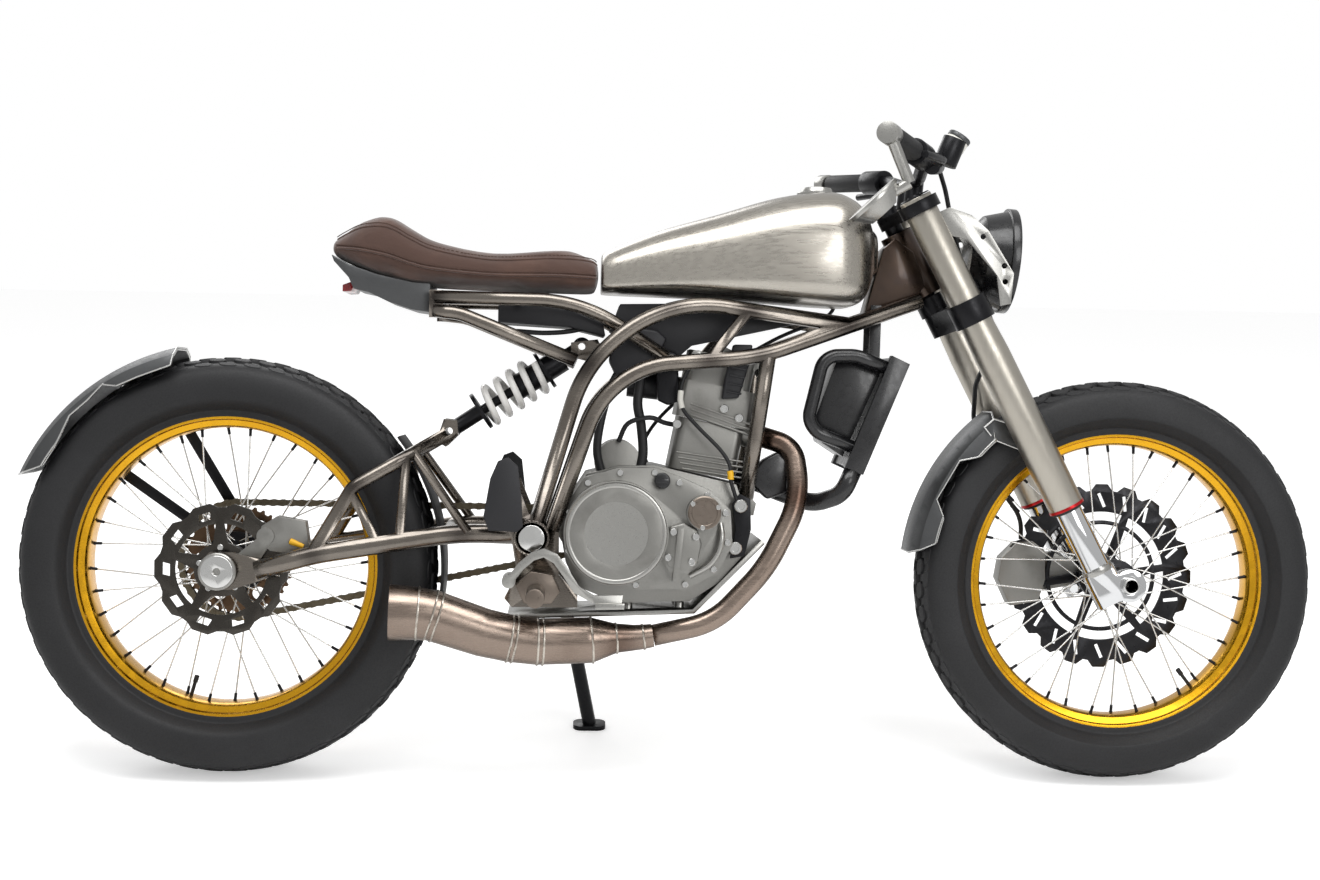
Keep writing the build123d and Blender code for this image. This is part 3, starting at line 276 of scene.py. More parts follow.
# %% [markdown]
# Screws, nipples, tread blocks and links repeat. Three small node trees set them out: one turns
# copies about an axle, one puts copies at marked points, one winds a coil. Each ends in real
# geometry with its finish, which is then kept as a plain mesh.


# %% Helper for building node trees
class Tree:
    def __init__(self, name):
        self.tree = bpy.data.node_groups.new(name, "GeometryNodeTree")
        self.tree.interface.new_socket("Geometry", in_out="INPUT", socket_type="NodeSocketGeometry")
        self.tree.interface.new_socket("Geometry", in_out="OUTPUT", socket_type="NodeSocketGeometry")
        self.start = self.tree.nodes.new("NodeGroupInput")
        self.end = self.tree.nodes.new("NodeGroupOutput")

    def input(self, name, kind):
        self.tree.interface.new_socket(name, in_out="INPUT", socket_type="NodeSocket" + kind)

    def node(self, kind, links=(), **settings):
        node = self.tree.nodes.new(kind)
        for key, value in settings.items():
            setattr(node, key, value)
        for socket, source in links:
            self.tree.links.new(source, node.inputs[socket])
        return node

    def finish(self, source):
        """Realize Instances and Set Material, so that the result is real geometry with its finish."""
        real = self.node("GeometryNodeRealizeInstances", [("Geometry", source)])
        painted = self.node("GeometryNodeSetMaterial",
                            [("Geometry", real.outputs[0]), ("Material", self.start.outputs["Finish"])])
        self.tree.links.new(painted.outputs[0], self.end.inputs["Geometry"])
        return self.tree


# %% The three trees
def ring_tree():
    """Copies of a piece turned about the crosswise axis through a centre."""
    made = Tree("Ring of pieces")
    for name, kind in (("Piece", "Object"), ("Count", "Int"), ("Start", "Float"), ("Centre", "Vector"),
                       ("Finish", "Material")):
        made.input(name, kind)
    taken = made.start.outputs
    points = made.node("GeometryNodeMeshLine", [("Count", taken["Count"])], mode="OFFSET")
    points.inputs["Offset"].default_value = (0, 0, 0)
    index = made.node("GeometryNodeInputIndex")
    share = made.node("ShaderNodeMath", [(0, index.outputs[0]), (1, taken["Count"])], operation="DIVIDE")
    turn = made.node("ShaderNodeMath", [(0, share.outputs[0]), (2, taken["Start"])],
                     operation="MULTIPLY_ADD")
    turn.inputs[1].default_value = 2 * pi
    spin = made.node("ShaderNodeCombineXYZ", [("Y", turn.outputs[0])])
    piece = made.node("GeometryNodeObjectInfo", [("Object", taken["Piece"])])
    copies = made.node("GeometryNodeInstanceOnPoints",
                       [("Points", points.outputs[0]), ("Instance", piece.outputs["Geometry"]),
                        ("Rotation", spin.outputs[0])])
    moved = made.node("GeometryNodeTransform", [("Geometry", copies.outputs[0]), ("Translation",
                                                                                  taken["Centre"])])
    return made.finish(moved.outputs[0])


def marks_tree():
    """Copies of a piece at marked points, each with its own turn and size."""
    made = Tree("Pieces at marks")
    for name, kind in (("Piece", "Object"), ("Size", "Float"), ("Finish", "Material")):
        made.input(name, kind)
    taken = made.start.outputs
    points = made.node("GeometryNodeMeshToPoints", [("Mesh", taken["Geometry"])])
    turn = made.node("GeometryNodeInputNamedAttribute", data_type="FLOAT_VECTOR")
    turn.inputs["Name"].default_value = "turn"
    scale = made.node("GeometryNodeInputNamedAttribute", data_type="FLOAT_VECTOR")
    scale.inputs["Name"].default_value = "scale"
    sized = made.node("ShaderNodeVectorMath", [(0, scale.outputs["Attribute"]), ("Scale", taken["Size"])],
                      operation="SCALE")
    piece = made.node("GeometryNodeObjectInfo", [("Object", taken["Piece"])])
    copies = made.node("GeometryNodeInstanceOnPoints",
                       [("Points", points.outputs[0]), ("Instance", piece.outputs["Geometry"]),
                        ("Rotation", turn.outputs["Attribute"]), ("Scale", sized.outputs[0])])
    return made.finish(copies.outputs[0])


def coil_tree():
    """Round wire wound into a coil that stands on the origin and rises along Z."""
    made = Tree("Coil spring")
    for name, kind in (("Turns", "Float"), ("Radius", "Float"), ("Height", "Float"), ("Wire", "Float"),
                       ("Finish", "Material")):
        made.input(name, kind)
    taken = made.start.outputs
    line = made.node("GeometryNodeCurveSpiral",
                     [("Rotations", taken["Turns"]), ("Start Radius", taken["Radius"]),
                      ("End Radius", taken["Radius"]), ("Height", taken["Height"])])
    line.inputs["Resolution"].default_value = 40
    ring = made.node("GeometryNodeCurvePrimitiveCircle", [("Radius", taken["Wire"])])
    ring.inputs["Resolution"].default_value = 14
    wire = made.node("GeometryNodeCurveToMesh",
                     [("Curve", line.outputs[0]), ("Profile Curve", ring.outputs[0])])
    wire.inputs["Fill Caps"].default_value = True
    smooth = made.node("GeometryNodeSetShadeSmooth", [("Geometry", wire.outputs[0])])
    return made.finish(smooth.outputs[0])


RING, MARKS, COIL = ring_tree(), marks_tree(), coil_tree()


def grown(name, tree, inputs, body, stands_for=(), points=None, frame_at=None, angle=38):
    """Runs a tree with its named inputs and keeps the result as a plain mesh on a body."""
    mesh = bpy.data.meshes.new(name)
    if points:
        mesh.from_pydata([p for p, _, _ in points], [], [])
        turns = mesh.attributes.new("turn", "FLOAT_VECTOR", "POINT")
        turns.data.foreach_set("vector", [value for _, turn, _ in points for value in turn])
        scales = mesh.attributes.new("scale", "FLOAT_VECTOR", "POINT")
        scales.data.foreach_set("vector", [value for _, _, size in points for value in size])
    obj = bpy.data.objects.new(name, mesh)
    bpy.context.scene.collection.objects.link(obj)
    made = obj.modifiers.new(tree.name, "NODES")
    made.node_group = tree
    for item in tree.interface.items_tree:
        if item.in_out == "INPUT" and item.name in inputs:
            made[item.identifier] = inputs[item.name]
    mesh = settled(obj)
    mesh.transform(PARK_MM @ (frame_at or Matrix.Identity(4)))
    mesh.shade_smooth()
    mesh.set_sharp_from_angle(angle=radians(angle))
    return place(obj, body, stands_for)


def pattern(name, form, bevel=0.0):
    """Unit piece for a tree, in millimetres. It is taken away again at the end."""
    mesh = bpy.data.meshes.new(name)
    mesh.from_pydata(form.corners, [], form.faces)
    outwards(mesh, 0.0)
    obj = bpy.data.objects.new(name, mesh)
    bpy.context.scene.collection.objects.link(obj)
    if bevel:
        soften(obj, bevel * 1000, 1, 30)
    patterns.append(obj)
    return obj


patterns = []


def aimed(point, way, size=(1, 1, 1)):
    """A mark whose piece stands on point with its local Z along way."""
    return Vector(point), Vector(way).to_track_quat("Z", "Y").to_euler(), size


print("trees", RING.name, MARKS.name, COIL.name)

# %% [markdown]
# ## Finishes
# Brushed tube, cast alloy, suede and rubber differ in how light breaks up on them more than in
# colour. Three shader groups give that: fine grain, long brush lines, and soft patches of wear.
# A fourth marks the heat tint beside a weld, and the painted shade along the top of the tank.


# %% Shader groups that several finishes share
def shader_group(name, inputs, outputs):
    group = bpy.data.node_groups.new(name, "ShaderNodeTree")
    for label, kind, value in inputs:
        socket = group.interface.new_socket(label, in_out="INPUT", socket_type="NodeSocket" + kind)
        if value is not None:
            socket.default_value = value
    for label in outputs:
        group.interface.new_socket(label, in_out="OUTPUT", socket_type="NodeSocketFloat")
    return group, group.nodes.new("NodeGroupInput"), group.nodes.new("NodeGroupOutput")


def noise_group(name, detail, stretched):
    """Noise as a height, and as a softer shade. A stretched one draws long brush lines."""
    inputs = [("Place", "Vector", None), ("Scale", "Float", 100.0), ("Share", "Float", 0.5)]
    if stretched:
        inputs.append(("Stretch", "Vector", (1.0, 1.0, 1.0)))
    group, start, end = shader_group(name, inputs, ["Height", "Mask"])
    noise = group.nodes.new("ShaderNodeTexNoise")
    noise.inputs["Detail"].default_value = detail
    place_at = start.outputs["Place"]
    if stretched:
        pulled = group.nodes.new("ShaderNodeVectorMath")
        pulled.operation = "MULTIPLY"
        group.links.new(place_at, pulled.inputs[0])
        group.links.new(start.outputs["Stretch"], pulled.inputs[1])
        place_at = pulled.outputs[0]
    group.links.new(place_at, noise.inputs["Vector"])
    group.links.new(start.outputs["Scale"], noise.inputs["Scale"])
    low = group.nodes.new("ShaderNodeMath")
    low.operation = "SUBTRACT"
    low.inputs[0].default_value = 1.0
    group.links.new(start.outputs["Share"], low.inputs[1])
    ranged = group.nodes.new("ShaderNodeMapRange")
    group.links.new(noise.outputs[0], ranged.inputs["Value"])
    group.links.new(low.outputs[0], ranged.inputs["From Min"])
    ranged.inputs["From Max"].default_value = 0.85
    group.links.new(noise.outputs[0], end.inputs["Height"])
    group.links.new(ranged.outputs[0], end.inputs["Mask"])
    return group


def heat_and_shade_group():
    """Mask that is full at a point and fades out over a reach."""
    group, start, end = shader_group(
        "Heat tint and painted shade mask", [("Place", "Vector", None), ("Centre", "Vector", (0, 0, 0)), ("Reach", "Float", 0.03)],
        ["Mask"])
    far = group.nodes.new("ShaderNodeVectorMath")
    far.operation = "DISTANCE"
    group.links.new(start.outputs["Place"], far.inputs[0])
    group.links.new(start.outputs["Centre"], far.inputs[1])
    ranged = group.nodes.new("ShaderNodeMapRange")
    ranged.interpolation_type = "SMOOTHSTEP"
    group.links.new(far.outputs["Value"], ranged.inputs["Value"])
    group.links.new(start.outputs["Reach"], ranged.inputs["From Max"])
    ranged.inputs["To Min"].default_value = 1.0
    ranged.inputs["To Max"].default_value = 0.0
    group.links.new(ranged.outputs[0], end.inputs["Mask"])
    return group


GRAIN = noise_group("Fine grain", 4.0, False)
BRUSHED = noise_group("Brush lines", 2.0, True)
WEAR = noise_group("Soft patches", 5.0, False)
HEAT_AND_SHADE_MASK = heat_and_shade_group()


# %% Builder for a finish
def colour(code):
    """Colour of a hex code as Blender's linear numbers."""
    parts = [int(code[i:i + 2], 16) / 255 for i in (1, 3, 5)]
    return [p / 12.92 if p <= 0.04045 else ((p + 0.055) / 1.055) ** 2.4 for p in parts] + [1.0]


def finish(name, base, rough, metal=0.0, patch=None, patch_scale=14.0, patch_share=0.5, grain=None,
           depth=0.0,
           brushed=None, coat=0.0, sheen=0.0, heat_and_shade_spots=(), heat_and_shade_colour="#2c2a30", spread_rough=0.08):
    """A finish from plain values: patches of a second colour, grain or brush lines, and darker spots that are heat
    tint beside welds and painted shade on the tank.
    """
    material = bpy.data.materials.new(name)
    material.use_nodes = True
    tree = material.node_tree
    shader = tree.nodes["Principled BSDF"]
    shader.inputs["Base Color"].default_value = colour(base)
    shader.inputs["Roughness"].default_value = rough
    shader.inputs["Metallic"].default_value = metal
    shader.inputs["Coat Weight"].default_value = coat
    shader.inputs["Coat Roughness"].default_value = 0.12
    shader.inputs["Sheen Weight"].default_value = sheen
    where = tree.nodes.new("ShaderNodeTexCoord").outputs["Object"]

    def placed(group, **values):
        node = tree.nodes.new("ShaderNodeGroup")
        node.node_tree = group
        tree.links.new(where, node.inputs["Place"])
        for key, value in values.items():
            node.inputs[key].default_value = value
        return node

    def mixed(mask, first, second):
        mix = tree.nodes.new("ShaderNodeMix")
        mix.data_type = "RGBA"
        tree.links.new(mask, mix.inputs["Factor"])
        for key, value in (("A", first), ("B", second)):
            socket = [s for s in mix.inputs if s.name == key and s.type == "RGBA"][0]
            if isinstance(value, list):
                socket.default_value = value
            else:
                tree.links.new(value, socket)
        return [s for s in mix.outputs if s.type == "RGBA"][0]

    shade = colour(base)
    if patch:
        worn = placed(WEAR, Scale=patch_scale, Share=patch_share)
        shade = mixed(worn.outputs["Mask"], shade, colour(patch))
    # Darker spots round centres: heat tint beside welds and on the exhaust, and painted shade along the top of the
    # tank.
    for point, reach in heat_and_shade_spots:
        mark = placed(HEAT_AND_SHADE_MASK, Centre=PARK_MM @ Vector(point), Reach=reach / 1000)
        shade = mixed(mark.outputs["Mask"], shade, colour(heat_and_shade_colour))
    if not isinstance(shade, list):
        tree.links.new(shade, shader.inputs["Base Color"])
    if grain or brushed:
        if brushed:
            lines = placed(BRUSHED, Scale=grain or 60.0, Stretch=brushed)
        else:
            lines = placed(GRAIN, Scale=grain)
        ranged = tree.nodes.new("ShaderNodeMapRange")
        tree.links.new(lines.outputs["Height"], ranged.inputs["Value"])
        ranged.inputs["From Min"].default_value = 0.3
        ranged.inputs["From Max"].default_value = 0.7
        ranged.inputs["To Min"].default_value = max(rough - spread_rough, 0.02)
        ranged.inputs["To Max"].default_value = min(rough + spread_rough, 1.0)
        tree.links.new(ranged.outputs[0], shader.inputs["Roughness"])
        if depth:
            bump = tree.nodes.new("ShaderNodeBump")
            bump.inputs["Strength"].default_value = 1.0
            bump.inputs["Distance"].default_value = depth / 1000
            tree.links.new(lines.outputs["Height"], bump.inputs["Height"])
            tree.links.new(bump.outputs[0], shader.inputs["Normal"])
    return material


# %% The motorcycle's finishes
TUBE_HEAT = [((505, -135, 430), 60), ((583, -135, 686), 55), ((715, -122, 793), 45), ((849, -101, 777), 40),
             ((783, -124, 694), 40), ((1012, -72, 758), 60), ((864, -112, 701), 45), ((213, -118, 482), 35),
             ((292, -98, 528), 30), ((150, -121, 373), 35), ((385, -110, 410), 40), ((568, -128, 690), 40),
             ((340, -100, 789), 30)]
RAW_TUBE = finish("Lacquered raw tube", "#7d766e", 0.25, 1.0, patch="#544c45", patch_scale=9,
                  patch_share=0.5,
                  grain=34, brushed=(1.0, 14.0,
                                     14.0), depth=0.04, coat=0.5, heat_and_shade_spots=TUBE_HEAT, heat_and_shade_colour="#2e2723")
# Spots along the tank's top line: the darker colour there is painted shade over the top of the tank, not heat tint.
TANK_TOP_PAINTED_SHADE = [((700, 0, 925), 95), ((770, 0, 950), 95), ((840, 0, 975), 95), ((910, 0, 1000), 105), ((985, 0,
                                                                                                    1012), 105)]
TANK_SILVER = finish("Brushed tank silver", "#b5b0a7", 0.30, 1.0, patch="#9b948a", patch_scale=3.5,
                     patch_share=0.5,
                     grain=26, brushed=(0.6, 20.0,
                                        9.0), depth=0.02, coat=0.3, heat_and_shade_spots=TANK_TOP_PAINTED_SHADE, heat_and_shade_colour="#6f675d")
FORK_SILVER = finish("Champagne fork tube", "#b4afa5", 0.36, 1.0, grain=30, brushed=(14.0, 14.0, 1.0),
                     depth=0.01)
CAST = finish("Cast alloy", "#8d8c88", 0.44, 0.92, patch="#6c6a66", patch_scale=16, patch_share=0.45,
              grain=420,
              depth=0.10)
MACHINED = finish("Machined alloy", "#acaba7", 0.30, 1.0, grain=650, spread_rough=0.04)
BRIGHT = finish("Bright steel", "#d8d8d6", 0.14, 1.0, grain=90)
CHROME = finish("Hard chrome", "#d9dadb", 0.06, 1.0)
DISC = finish("Rear brake disc", "#4a4743", 0.28, 1.0, patch="#37322d", patch_scale=12, grain=160,
              depth=0.01)
FRONT_DISC = finish("Black brake disc", "#2c2c2e", 0.34, 0.9, patch="#3a3a3c", patch_scale=18, grain=160,
                    depth=0.01)
GOLD = finish("Gold anodised rim", "#e2a81c", 0.26, 1.0, patch="#c98d12", patch_scale=5, grain=60,
              coat=0.25)
BLACK_METAL = finish("Black anodised metal", "#17171a", 0.34, 0.6, grain=180, depth=0.02)
BLACK_PAINT = finish("Black satin paint", "#121214", 0.30, 0.0, grain=120, depth=0.02, coat=0.3)
PLASTIC = finish("Black plastic", "#16161a", 0.52, 0.0, grain=700, depth=0.06)
RUBBER = finish("Hose rubber", "#101012", 0.58, 0.0, grain=500, depth=0.05)
TYRE = finish("Tyre rubber", "#141416", 0.62, 0.0, patch="#212123", patch_scale=7, patch_share=0.5,
              grain=380,
              depth=0.12)
EXHAUST = finish("Bronze tinted exhaust", "#94857a", 0.28, 1.0, patch="#75665b", patch_scale=8,
                 patch_share=0.5,
                 grain=40, brushed=(1.0, 9.0, 9.0), depth=0.02,
                 heat_and_shade_spots=[((640, -109, 241), 60), ((870, -34, 573), 120), ((940, -86, 470), 70),
                       ((512, -116, 235), 26), ((420, -124, 250), 22)], heat_and_shade_colour="#4b362c")
WELD = finish("Weld bead", "#c9c2b8", 0.30, 1.0, patch="#6d5b4c", patch_scale=60, grain=300, depth=0.2)
GUARD_GREY = finish("Satin grey guard", "#58595a", 0.42, 0.8, patch="#434445", patch_scale=9, grain=300,
                    depth=0.04)
# Brighter than the grey guard: a painted highlight along the guards' edges.
GUARD_EDGE_PAINTED_HIGHLIGHT = finish("Guard edge painted highlight", "#c8c8c6", 0.26, 1.0)
CHAIN = finish("Chain steel", "#6f6757", 0.38, 1.0, patch="#5a5142", patch_scale=120, grain=300)
SPROCKET = finish("Brown sprocket", "#5d4a3a", 0.36, 1.0, grain=120)
SPRING = finish("White spring paint", "#eceae6", 0.30, 0.0, grain=200, coat=0.5)
BRONZE = finish("Bronze tinted gusset", "#4a3d35", 0.34, 1.0, patch="#34343d", patch_scale=10, grain=60,
                coat=0.4)
SUEDE = finish("Brown suede", "#452f26", 0.92, 0.0, patch="#573d31", patch_scale=22, patch_share=0.55,
               grain=900,
               depth=0.35, sheen=0.4)
THREAD = finish("Stitch thread", "#3f2a20", 0.8)
RED = finish("Red anodised", "#b0161c", 0.30, 0.6)
RED_LENS = finish("Red lamp lens", "#7d0d10", 0.14, 0.0, coat=0.6)
WHITE_PART = finish("White sleeve", "#dcdad2", 0.5)
YELLOW_PART = finish("Yellow cap", "#d9a512", 0.45)
TAUPE = finish("Taupe cover", "#7b7168", 0.34, 0.9, grain=200)


def clear(name, base, rough):
    """Clear glass, a little tinted."""
    material = bpy.data.materials.new(name)
    material.use_nodes = True
    shader = material.node_tree.nodes["Principled BSDF"]
    shader.inputs["Base Color"].default_value = colour(base)
    shader.inputs["Roughness"].default_value = rough
    shader.inputs["Transmission Weight"].default_value = 1.0
    shader.inputs["IOR"].default_value = 1.45
    return material


LAMP_GLASS = clear("Lamp glass", "#f2f6f8", 0.03)
print("finishes", len(bpy.data.materials))

# %% [markdown]
# ## Wheels
# The tyres are flat-track tyres: a smooth carcass with rows of low blocks. One block is drawn at
# the top of the wheel and a ring tree turns its copies about the axle, row by row.

# %% Tyres
GRIP_DEPTH = 6.0


def carcass(centre, radius, half, rim_half):
    """Closed ring of the tyre's wall, from bead over the crown to bead."""
    side = [(rim_half - 7, 242), (rim_half - 2, 243), (rim_half + 0.6, 250), (rim_half + 1.5, 257),
            (rim_half + 7, 261), (half * 0.93, 272), (half - 1, radius - 60), (half - 0.3, radius - 46),
            (half * 0.965, radius - 32), (half * 0.89, radius - 21), (half * 0.74, radius - 13.5),
            (half * 0.5, radius - 9.5), (half * 0.25, radius - 7.2), (0, radius - 6.4)]
    full = side + [(-y, r) for y, r in reversed(side[:-1])]
    smooth = [tuple(row) for row in spread(full, 3)]
    inner = [(-rim_half + 12, 250), (rim_half - 12, 250)]
    return Form().turned(smooth + inner, centre, sides=144, loop=True)


def tread_block(radius, y, tilt, long, wide, name, skew=0.0):
    """One low block at the top of the wheel: a wide foot and a slightly smaller top."""
    form = Form()
    rings = []
    for share, high in ((1.0, -GRIP_DEPTH - 3), (0.93, -1.0), (0.84, 0.0)):
        ring = []
        for a, b in ((-1, -0.55), (-0.55, -1), (0.55, -1), (1, -0.55), (1, 0.55), (0.55, 1), (-0.55, 1),
                     (-1, 0.55)):
            x = a * long / 2 * share + b * skew
            across = b * wide / 2 * share
            fall = (radius * radius - x * x) ** 0.5 - radius
            ring.append((x, y + across * cos(tilt) + high * sin(tilt),
                         radius + fall + high * cos(tilt) - across * sin(tilt)))
        rings.append(ring)
    return pattern(name, form.skin(rings))


def dress_tyre(name, body, centre, radius, half, rim_half, count):
    """Carcass of one tyre with its rows of blocks."""
    make(name + "_fine", carcass(centre, radius, half, rim_half), body, TYRE, [name])
    step = 2 * pi * radius / count
    slope = 11 / (half * 0.8 - 12)
    # middle of the row, drop of its top below the crown, tilt, length share, width, start share
    rows = ((0.0, 0.0, 0.0, 0.62, 20.0, 0.0), (0.36, 1.0, slope, 0.70, 19.0, 0.5),
            (0.66, 1.0, slope * 1.3, 0.74, 17.0, 0.0), (0.87, 1.0, 0.95, 0.55, 11.0, 0.25))
    for n, (share, sides, tilt, long, wide, start) in enumerate(rows):
        for side in ((1, -1) if sides else (1,)):
            y = half * share
            drop = max(0.0, (y - 12)) * slope + (2.0 if n == 2 else 0.0) + (9.0 if n == 3 else 0.0)
            block = tread_block(radius - drop, side * y, side * tilt, step * long, wide,
                                f"{name}_block_{n}_{side}", skew=side * 3.0)
            grown(f"{name}_tread_{n}_{'left' if side > 0 else 'right'}", RING,
                  {"Piece": block, "Count": count, "Start": start * 2 * pi / count, "Centre": centre,
                   "Finish": TYRE}, body)


dress_tyre("rear_tyre", "rear_wheel", REAR_AXLE, REAR_TYRE_R, 72, 46, 52)
dress_tyre("front_tyre", "front_wheel", FRONT_AXLE, FRONT_TYRE_R, 62, 38, 52)

# %% [markdown]
# The rims are stepped gold hoops, drilled for black nipples. Thirty-six bright spokes cross
# between the hub flanges and the rim, leading one way and then the other.

# %% Rims, nipples and spokes
SPOKES = 36


def dress_rim(name, body, centre, half):
    """Stepped hoop that replaces the plain rim."""
    side = [(half - 6, 241), (half - 1, 243), (half, 248), (half, 254), (half - 1.5, 255.3), (half - 3,
                                                                                              254.5),
            (half - 3.4, 249), (half - 5, 246.4), (half - 9, 245.6), (half - 10.5, 240), (half - 13.5, 232),
            (half - 18, 229.4), (half * 0.3, 228)]
    outer = [(half - 7, 248), (half - 14, 246), (half - 20, 240)]
    ring = side + [(-y, r) for y, r in reversed(side)] + [(-y, r) for y, r in outer] + list(reversed(outer))
    make(name + "_fine", Form().turned(ring, centre, sides=160, loop=True), body, GOLD, [name],
         angle=30)


dress_rim("rear_rim", "rear_wheel", REAR_AXLE, 46)
dress_rim("front_rim", "front_wheel", FRONT_AXLE, 38)
print("rims dressed, spokes a wheel", SPOKES)


def spoke_lines(centre, flange_y):
    """Both ends of each spoke, from the hub's flange to the rim."""
    for n in range(SPOKES):
        side = 1 if n % 2 else -1
        lead = 1 if (n // 2) % 2 else -1
        at = radians(360.0 * n / SPOKES + 2.0)
        foot = at + radians(lead * 62.0)
        start = Vector((31 * cos(foot), side * (flange_y + lead * 2.2), 31 * sin(foot)))
        end = Vector((229 * cos(at), side * 9.0, 229 * sin(at)))
        yield centre + start, centre + end


spoke_unit = pattern("spoke_unit", Form().turned([(0, 1.35), (1, 1.35)], (0, 0, 0), (0, 0, 1), 10))
nipple_unit = pattern("nipple_unit", Form().turned([(-13, 2.0), (-12, 2.5), (-3, 2.5), (0, 3.6), (1.5,
                                                                                                  3.6)],
                                                   (0, 0, 0), (0, 0, 1), 10))


def dress_spokes(name, body, centre, flange_y):
    lines = list(spoke_lines(centre, flange_y))
    bars = [aimed(a, b - a, (1, 1, (b - a).length)) for a, b in lines]
    grown(name + "_spokes", MARKS, {"Piece": spoke_unit, "Size": 1.0, "Finish": BRIGHT}, body,
          points=bars)
    ends = [aimed(b, b - a) for a, b in lines]
    grown(name + "_nipples", MARKS, {"Piece": nipple_unit, "Size": 1.0, "Finish": BLACK_METAL}, body,
          points=ends)


def hub(profile, centre, bore):
    """Hub turned from its barrel profile, bored for the axle."""
    inside = [(profile[-1][0], bore), (profile[0][0], bore)]
    return Form().turned(profile + inside, centre, sides=64, loop=True)


FRONT_BARREL = [(-70, 19), (-40, 21), (-36, 24), (-36, 36), (-24, 36), (-24, 26), (-16, 22), (16, 22), (24,
                                                                                                        26),
                (24, 36), (36, 36), (36, 30), (55.5, 30), (55.5, 40), (63.5, 40), (63.5, 19), (70, 19)]
REAR_BARREL = [(-93.5, 20), (-87, 20), (-87, 44), (-78, 44), (-78, 30), (-40, 25), (-40, 38), (-28, 38),
               (-28, 28),
               (-18, 25), (18, 25), (28, 28), (28, 38), (40, 38), (40, 52), (89, 52), (89, 26), (100, 26)]
make("front_hub_fine", hub(FRONT_BARREL, FRONT_AXLE, 13.1), "front_wheel", BLACK_METAL,
     ["front_hub"], bevel=0.8)
make("rear_hub_fine", hub(REAR_BARREL, REAR_AXLE, 12.6), "rear_wheel", BLACK_METAL,
     ["rear_hub"],
     bevel=0.8)
dress_spokes("front_wheel", "front_wheel", FRONT_AXLE, 30)
dress_spokes("rear_wheel", "rear_wheel", REAR_AXLE, 34)

# %% [markdown]
# Discs and sprocket keep their engineered outlines with softer edges. Screws hold each to its
# hub, and a short valve stem stands on each rim.

# %% Discs, sprocket, screws and valves
copied("front_disc", FRONT_DISC, bevel=0.4)
copied("rear_disc", DISC, bevel=0.4)
copied("rear_sprocket", SPROCKET, bevel=0.4)

screw_unit = pattern("screw_unit", Form().turned(
    [(-1, 5), (3.4, 5), (4, 4.4), (4, 2.8), (1.6, 2.6), (1.5, 0.02)], (0, 0, 0), (0, 0, 1), 12))


def screws(name, marks, body, metal=None, size=1.0):
    """Socket screws at (point, way) marks."""
    return grown(name, MARKS, {"Piece": screw_unit, "Size": size, "Finish": metal or BRIGHT}, body,
                 points=[aimed(p, w) for p, w in marks])


def screw_ring(name, centre, radius, count, y, way, body, start=0.0, size=1.0, metal=None):
    """Screws on a circle about a crosswise axis."""
    marks = []
    for n in range(count):
        t = start + 2 * pi * n / count
        marks.append(((centre[0] + radius * cos(t), y, centre[2] + radius * sin(t)), (0, way, 0)))
    return screws(name, marks, body, metal, size=size)


screw_ring("front_disc_screws", FRONT_AXLE, 35, 6, 68.5, 1, "front_wheel")
screw_ring("rear_disc_screws", REAR_AXLE, 36, 5, -92, -1, "rear_wheel", start=0.35)
screw_ring("sprocket_screws", REAR_AXLE, 43, 6, 95, 1, "rear_wheel", start=0.5, size=1.2)
for body, centre, at in (("rear_wheel", REAR_AXLE, 254), ("front_wheel", FRONT_AXLE, 308)):
    t = radians(at)
    spoke_way = Vector((cos(t), 0, sin(t)))
    stem = Form().rod(centre + spoke_way * 229, centre + spoke_way * 205, 3, sides=12)
    stem.rod(centre + spoke_way * 205, centre + spoke_way * 193, 4, sides=12)
    make(body + "_valve", stem, body, RUBBER, bevel=0.5)

# %% [markdown]
# ## Chain and spring
# The chain follows the two pitch circles and the straight runs between them. Each mark carries
# one link, narrow and wide by turns. The spring is a wound wire between the damper's collars.

# %% Chain links on their path
PITCH = 15.875
CHAIN_Y = 92.0
COUNTERSHAFT = Vector((575.0, 0.0, 402.0))


def pitch_radius(teeth):
    """Radius on which the rollers lie round a sprocket."""
    return PITCH / 2 / sin(pi / teeth)


def chain_marks():
    """Middle point and turn of every link, in order round the loop."""
    big, small = pitch_radius(39), pitch_radius(15)
    between = COUNTERSHAFT - REAR_AXLE
    lean = atan2(between.z, between.x)
    from_rear = pi / 2 + lean - atan2(big - small, hypot(between.x, between.z))
    out = Vector((cos(from_rear), 0, sin(from_rear)))
    flipped = 2 * lean - from_rear
    low = Vector((cos(flipped), 0, sin(flipped)))
    run = (COUNTERSHAFT + out * small) - (REAR_AXLE + out * big)
    front_arc = (from_rear - flipped) * small
    rear_arc = (2 * pi - (from_rear - flipped)) * big
    total = 2 * run.length + front_arc + rear_arc
    count = 2 * round(total / PITCH / 2)
    for n in range(count):
        s = total * n / count
        if s < run.length:
            point, heading = REAR_AXLE + out * big + run * (s / run.length), from_rear - pi / 2
        elif s < run.length + front_arc:
            t = from_rear - (s - run.length) / small
            point, heading = COUNTERSHAFT + Vector((cos(t), 0, sin(t))) * small, t - pi / 2
        elif s < 2 * run.length + front_arc:
            back = (s - run.length - front_arc) / run.length
            a, b = COUNTERSHAFT + low * small, REAR_AXLE + low * big
            point, heading = a + (b - a) * back, flipped - pi / 2
        else:
            t = flipped - (s - 2 * run.length - front_arc) / big
            point, heading = REAR_AXLE + Vector((cos(t), 0, sin(t))) * big, t - pi / 2
        yield n, point + Vector((0, CHAIN_Y, 0)), heading


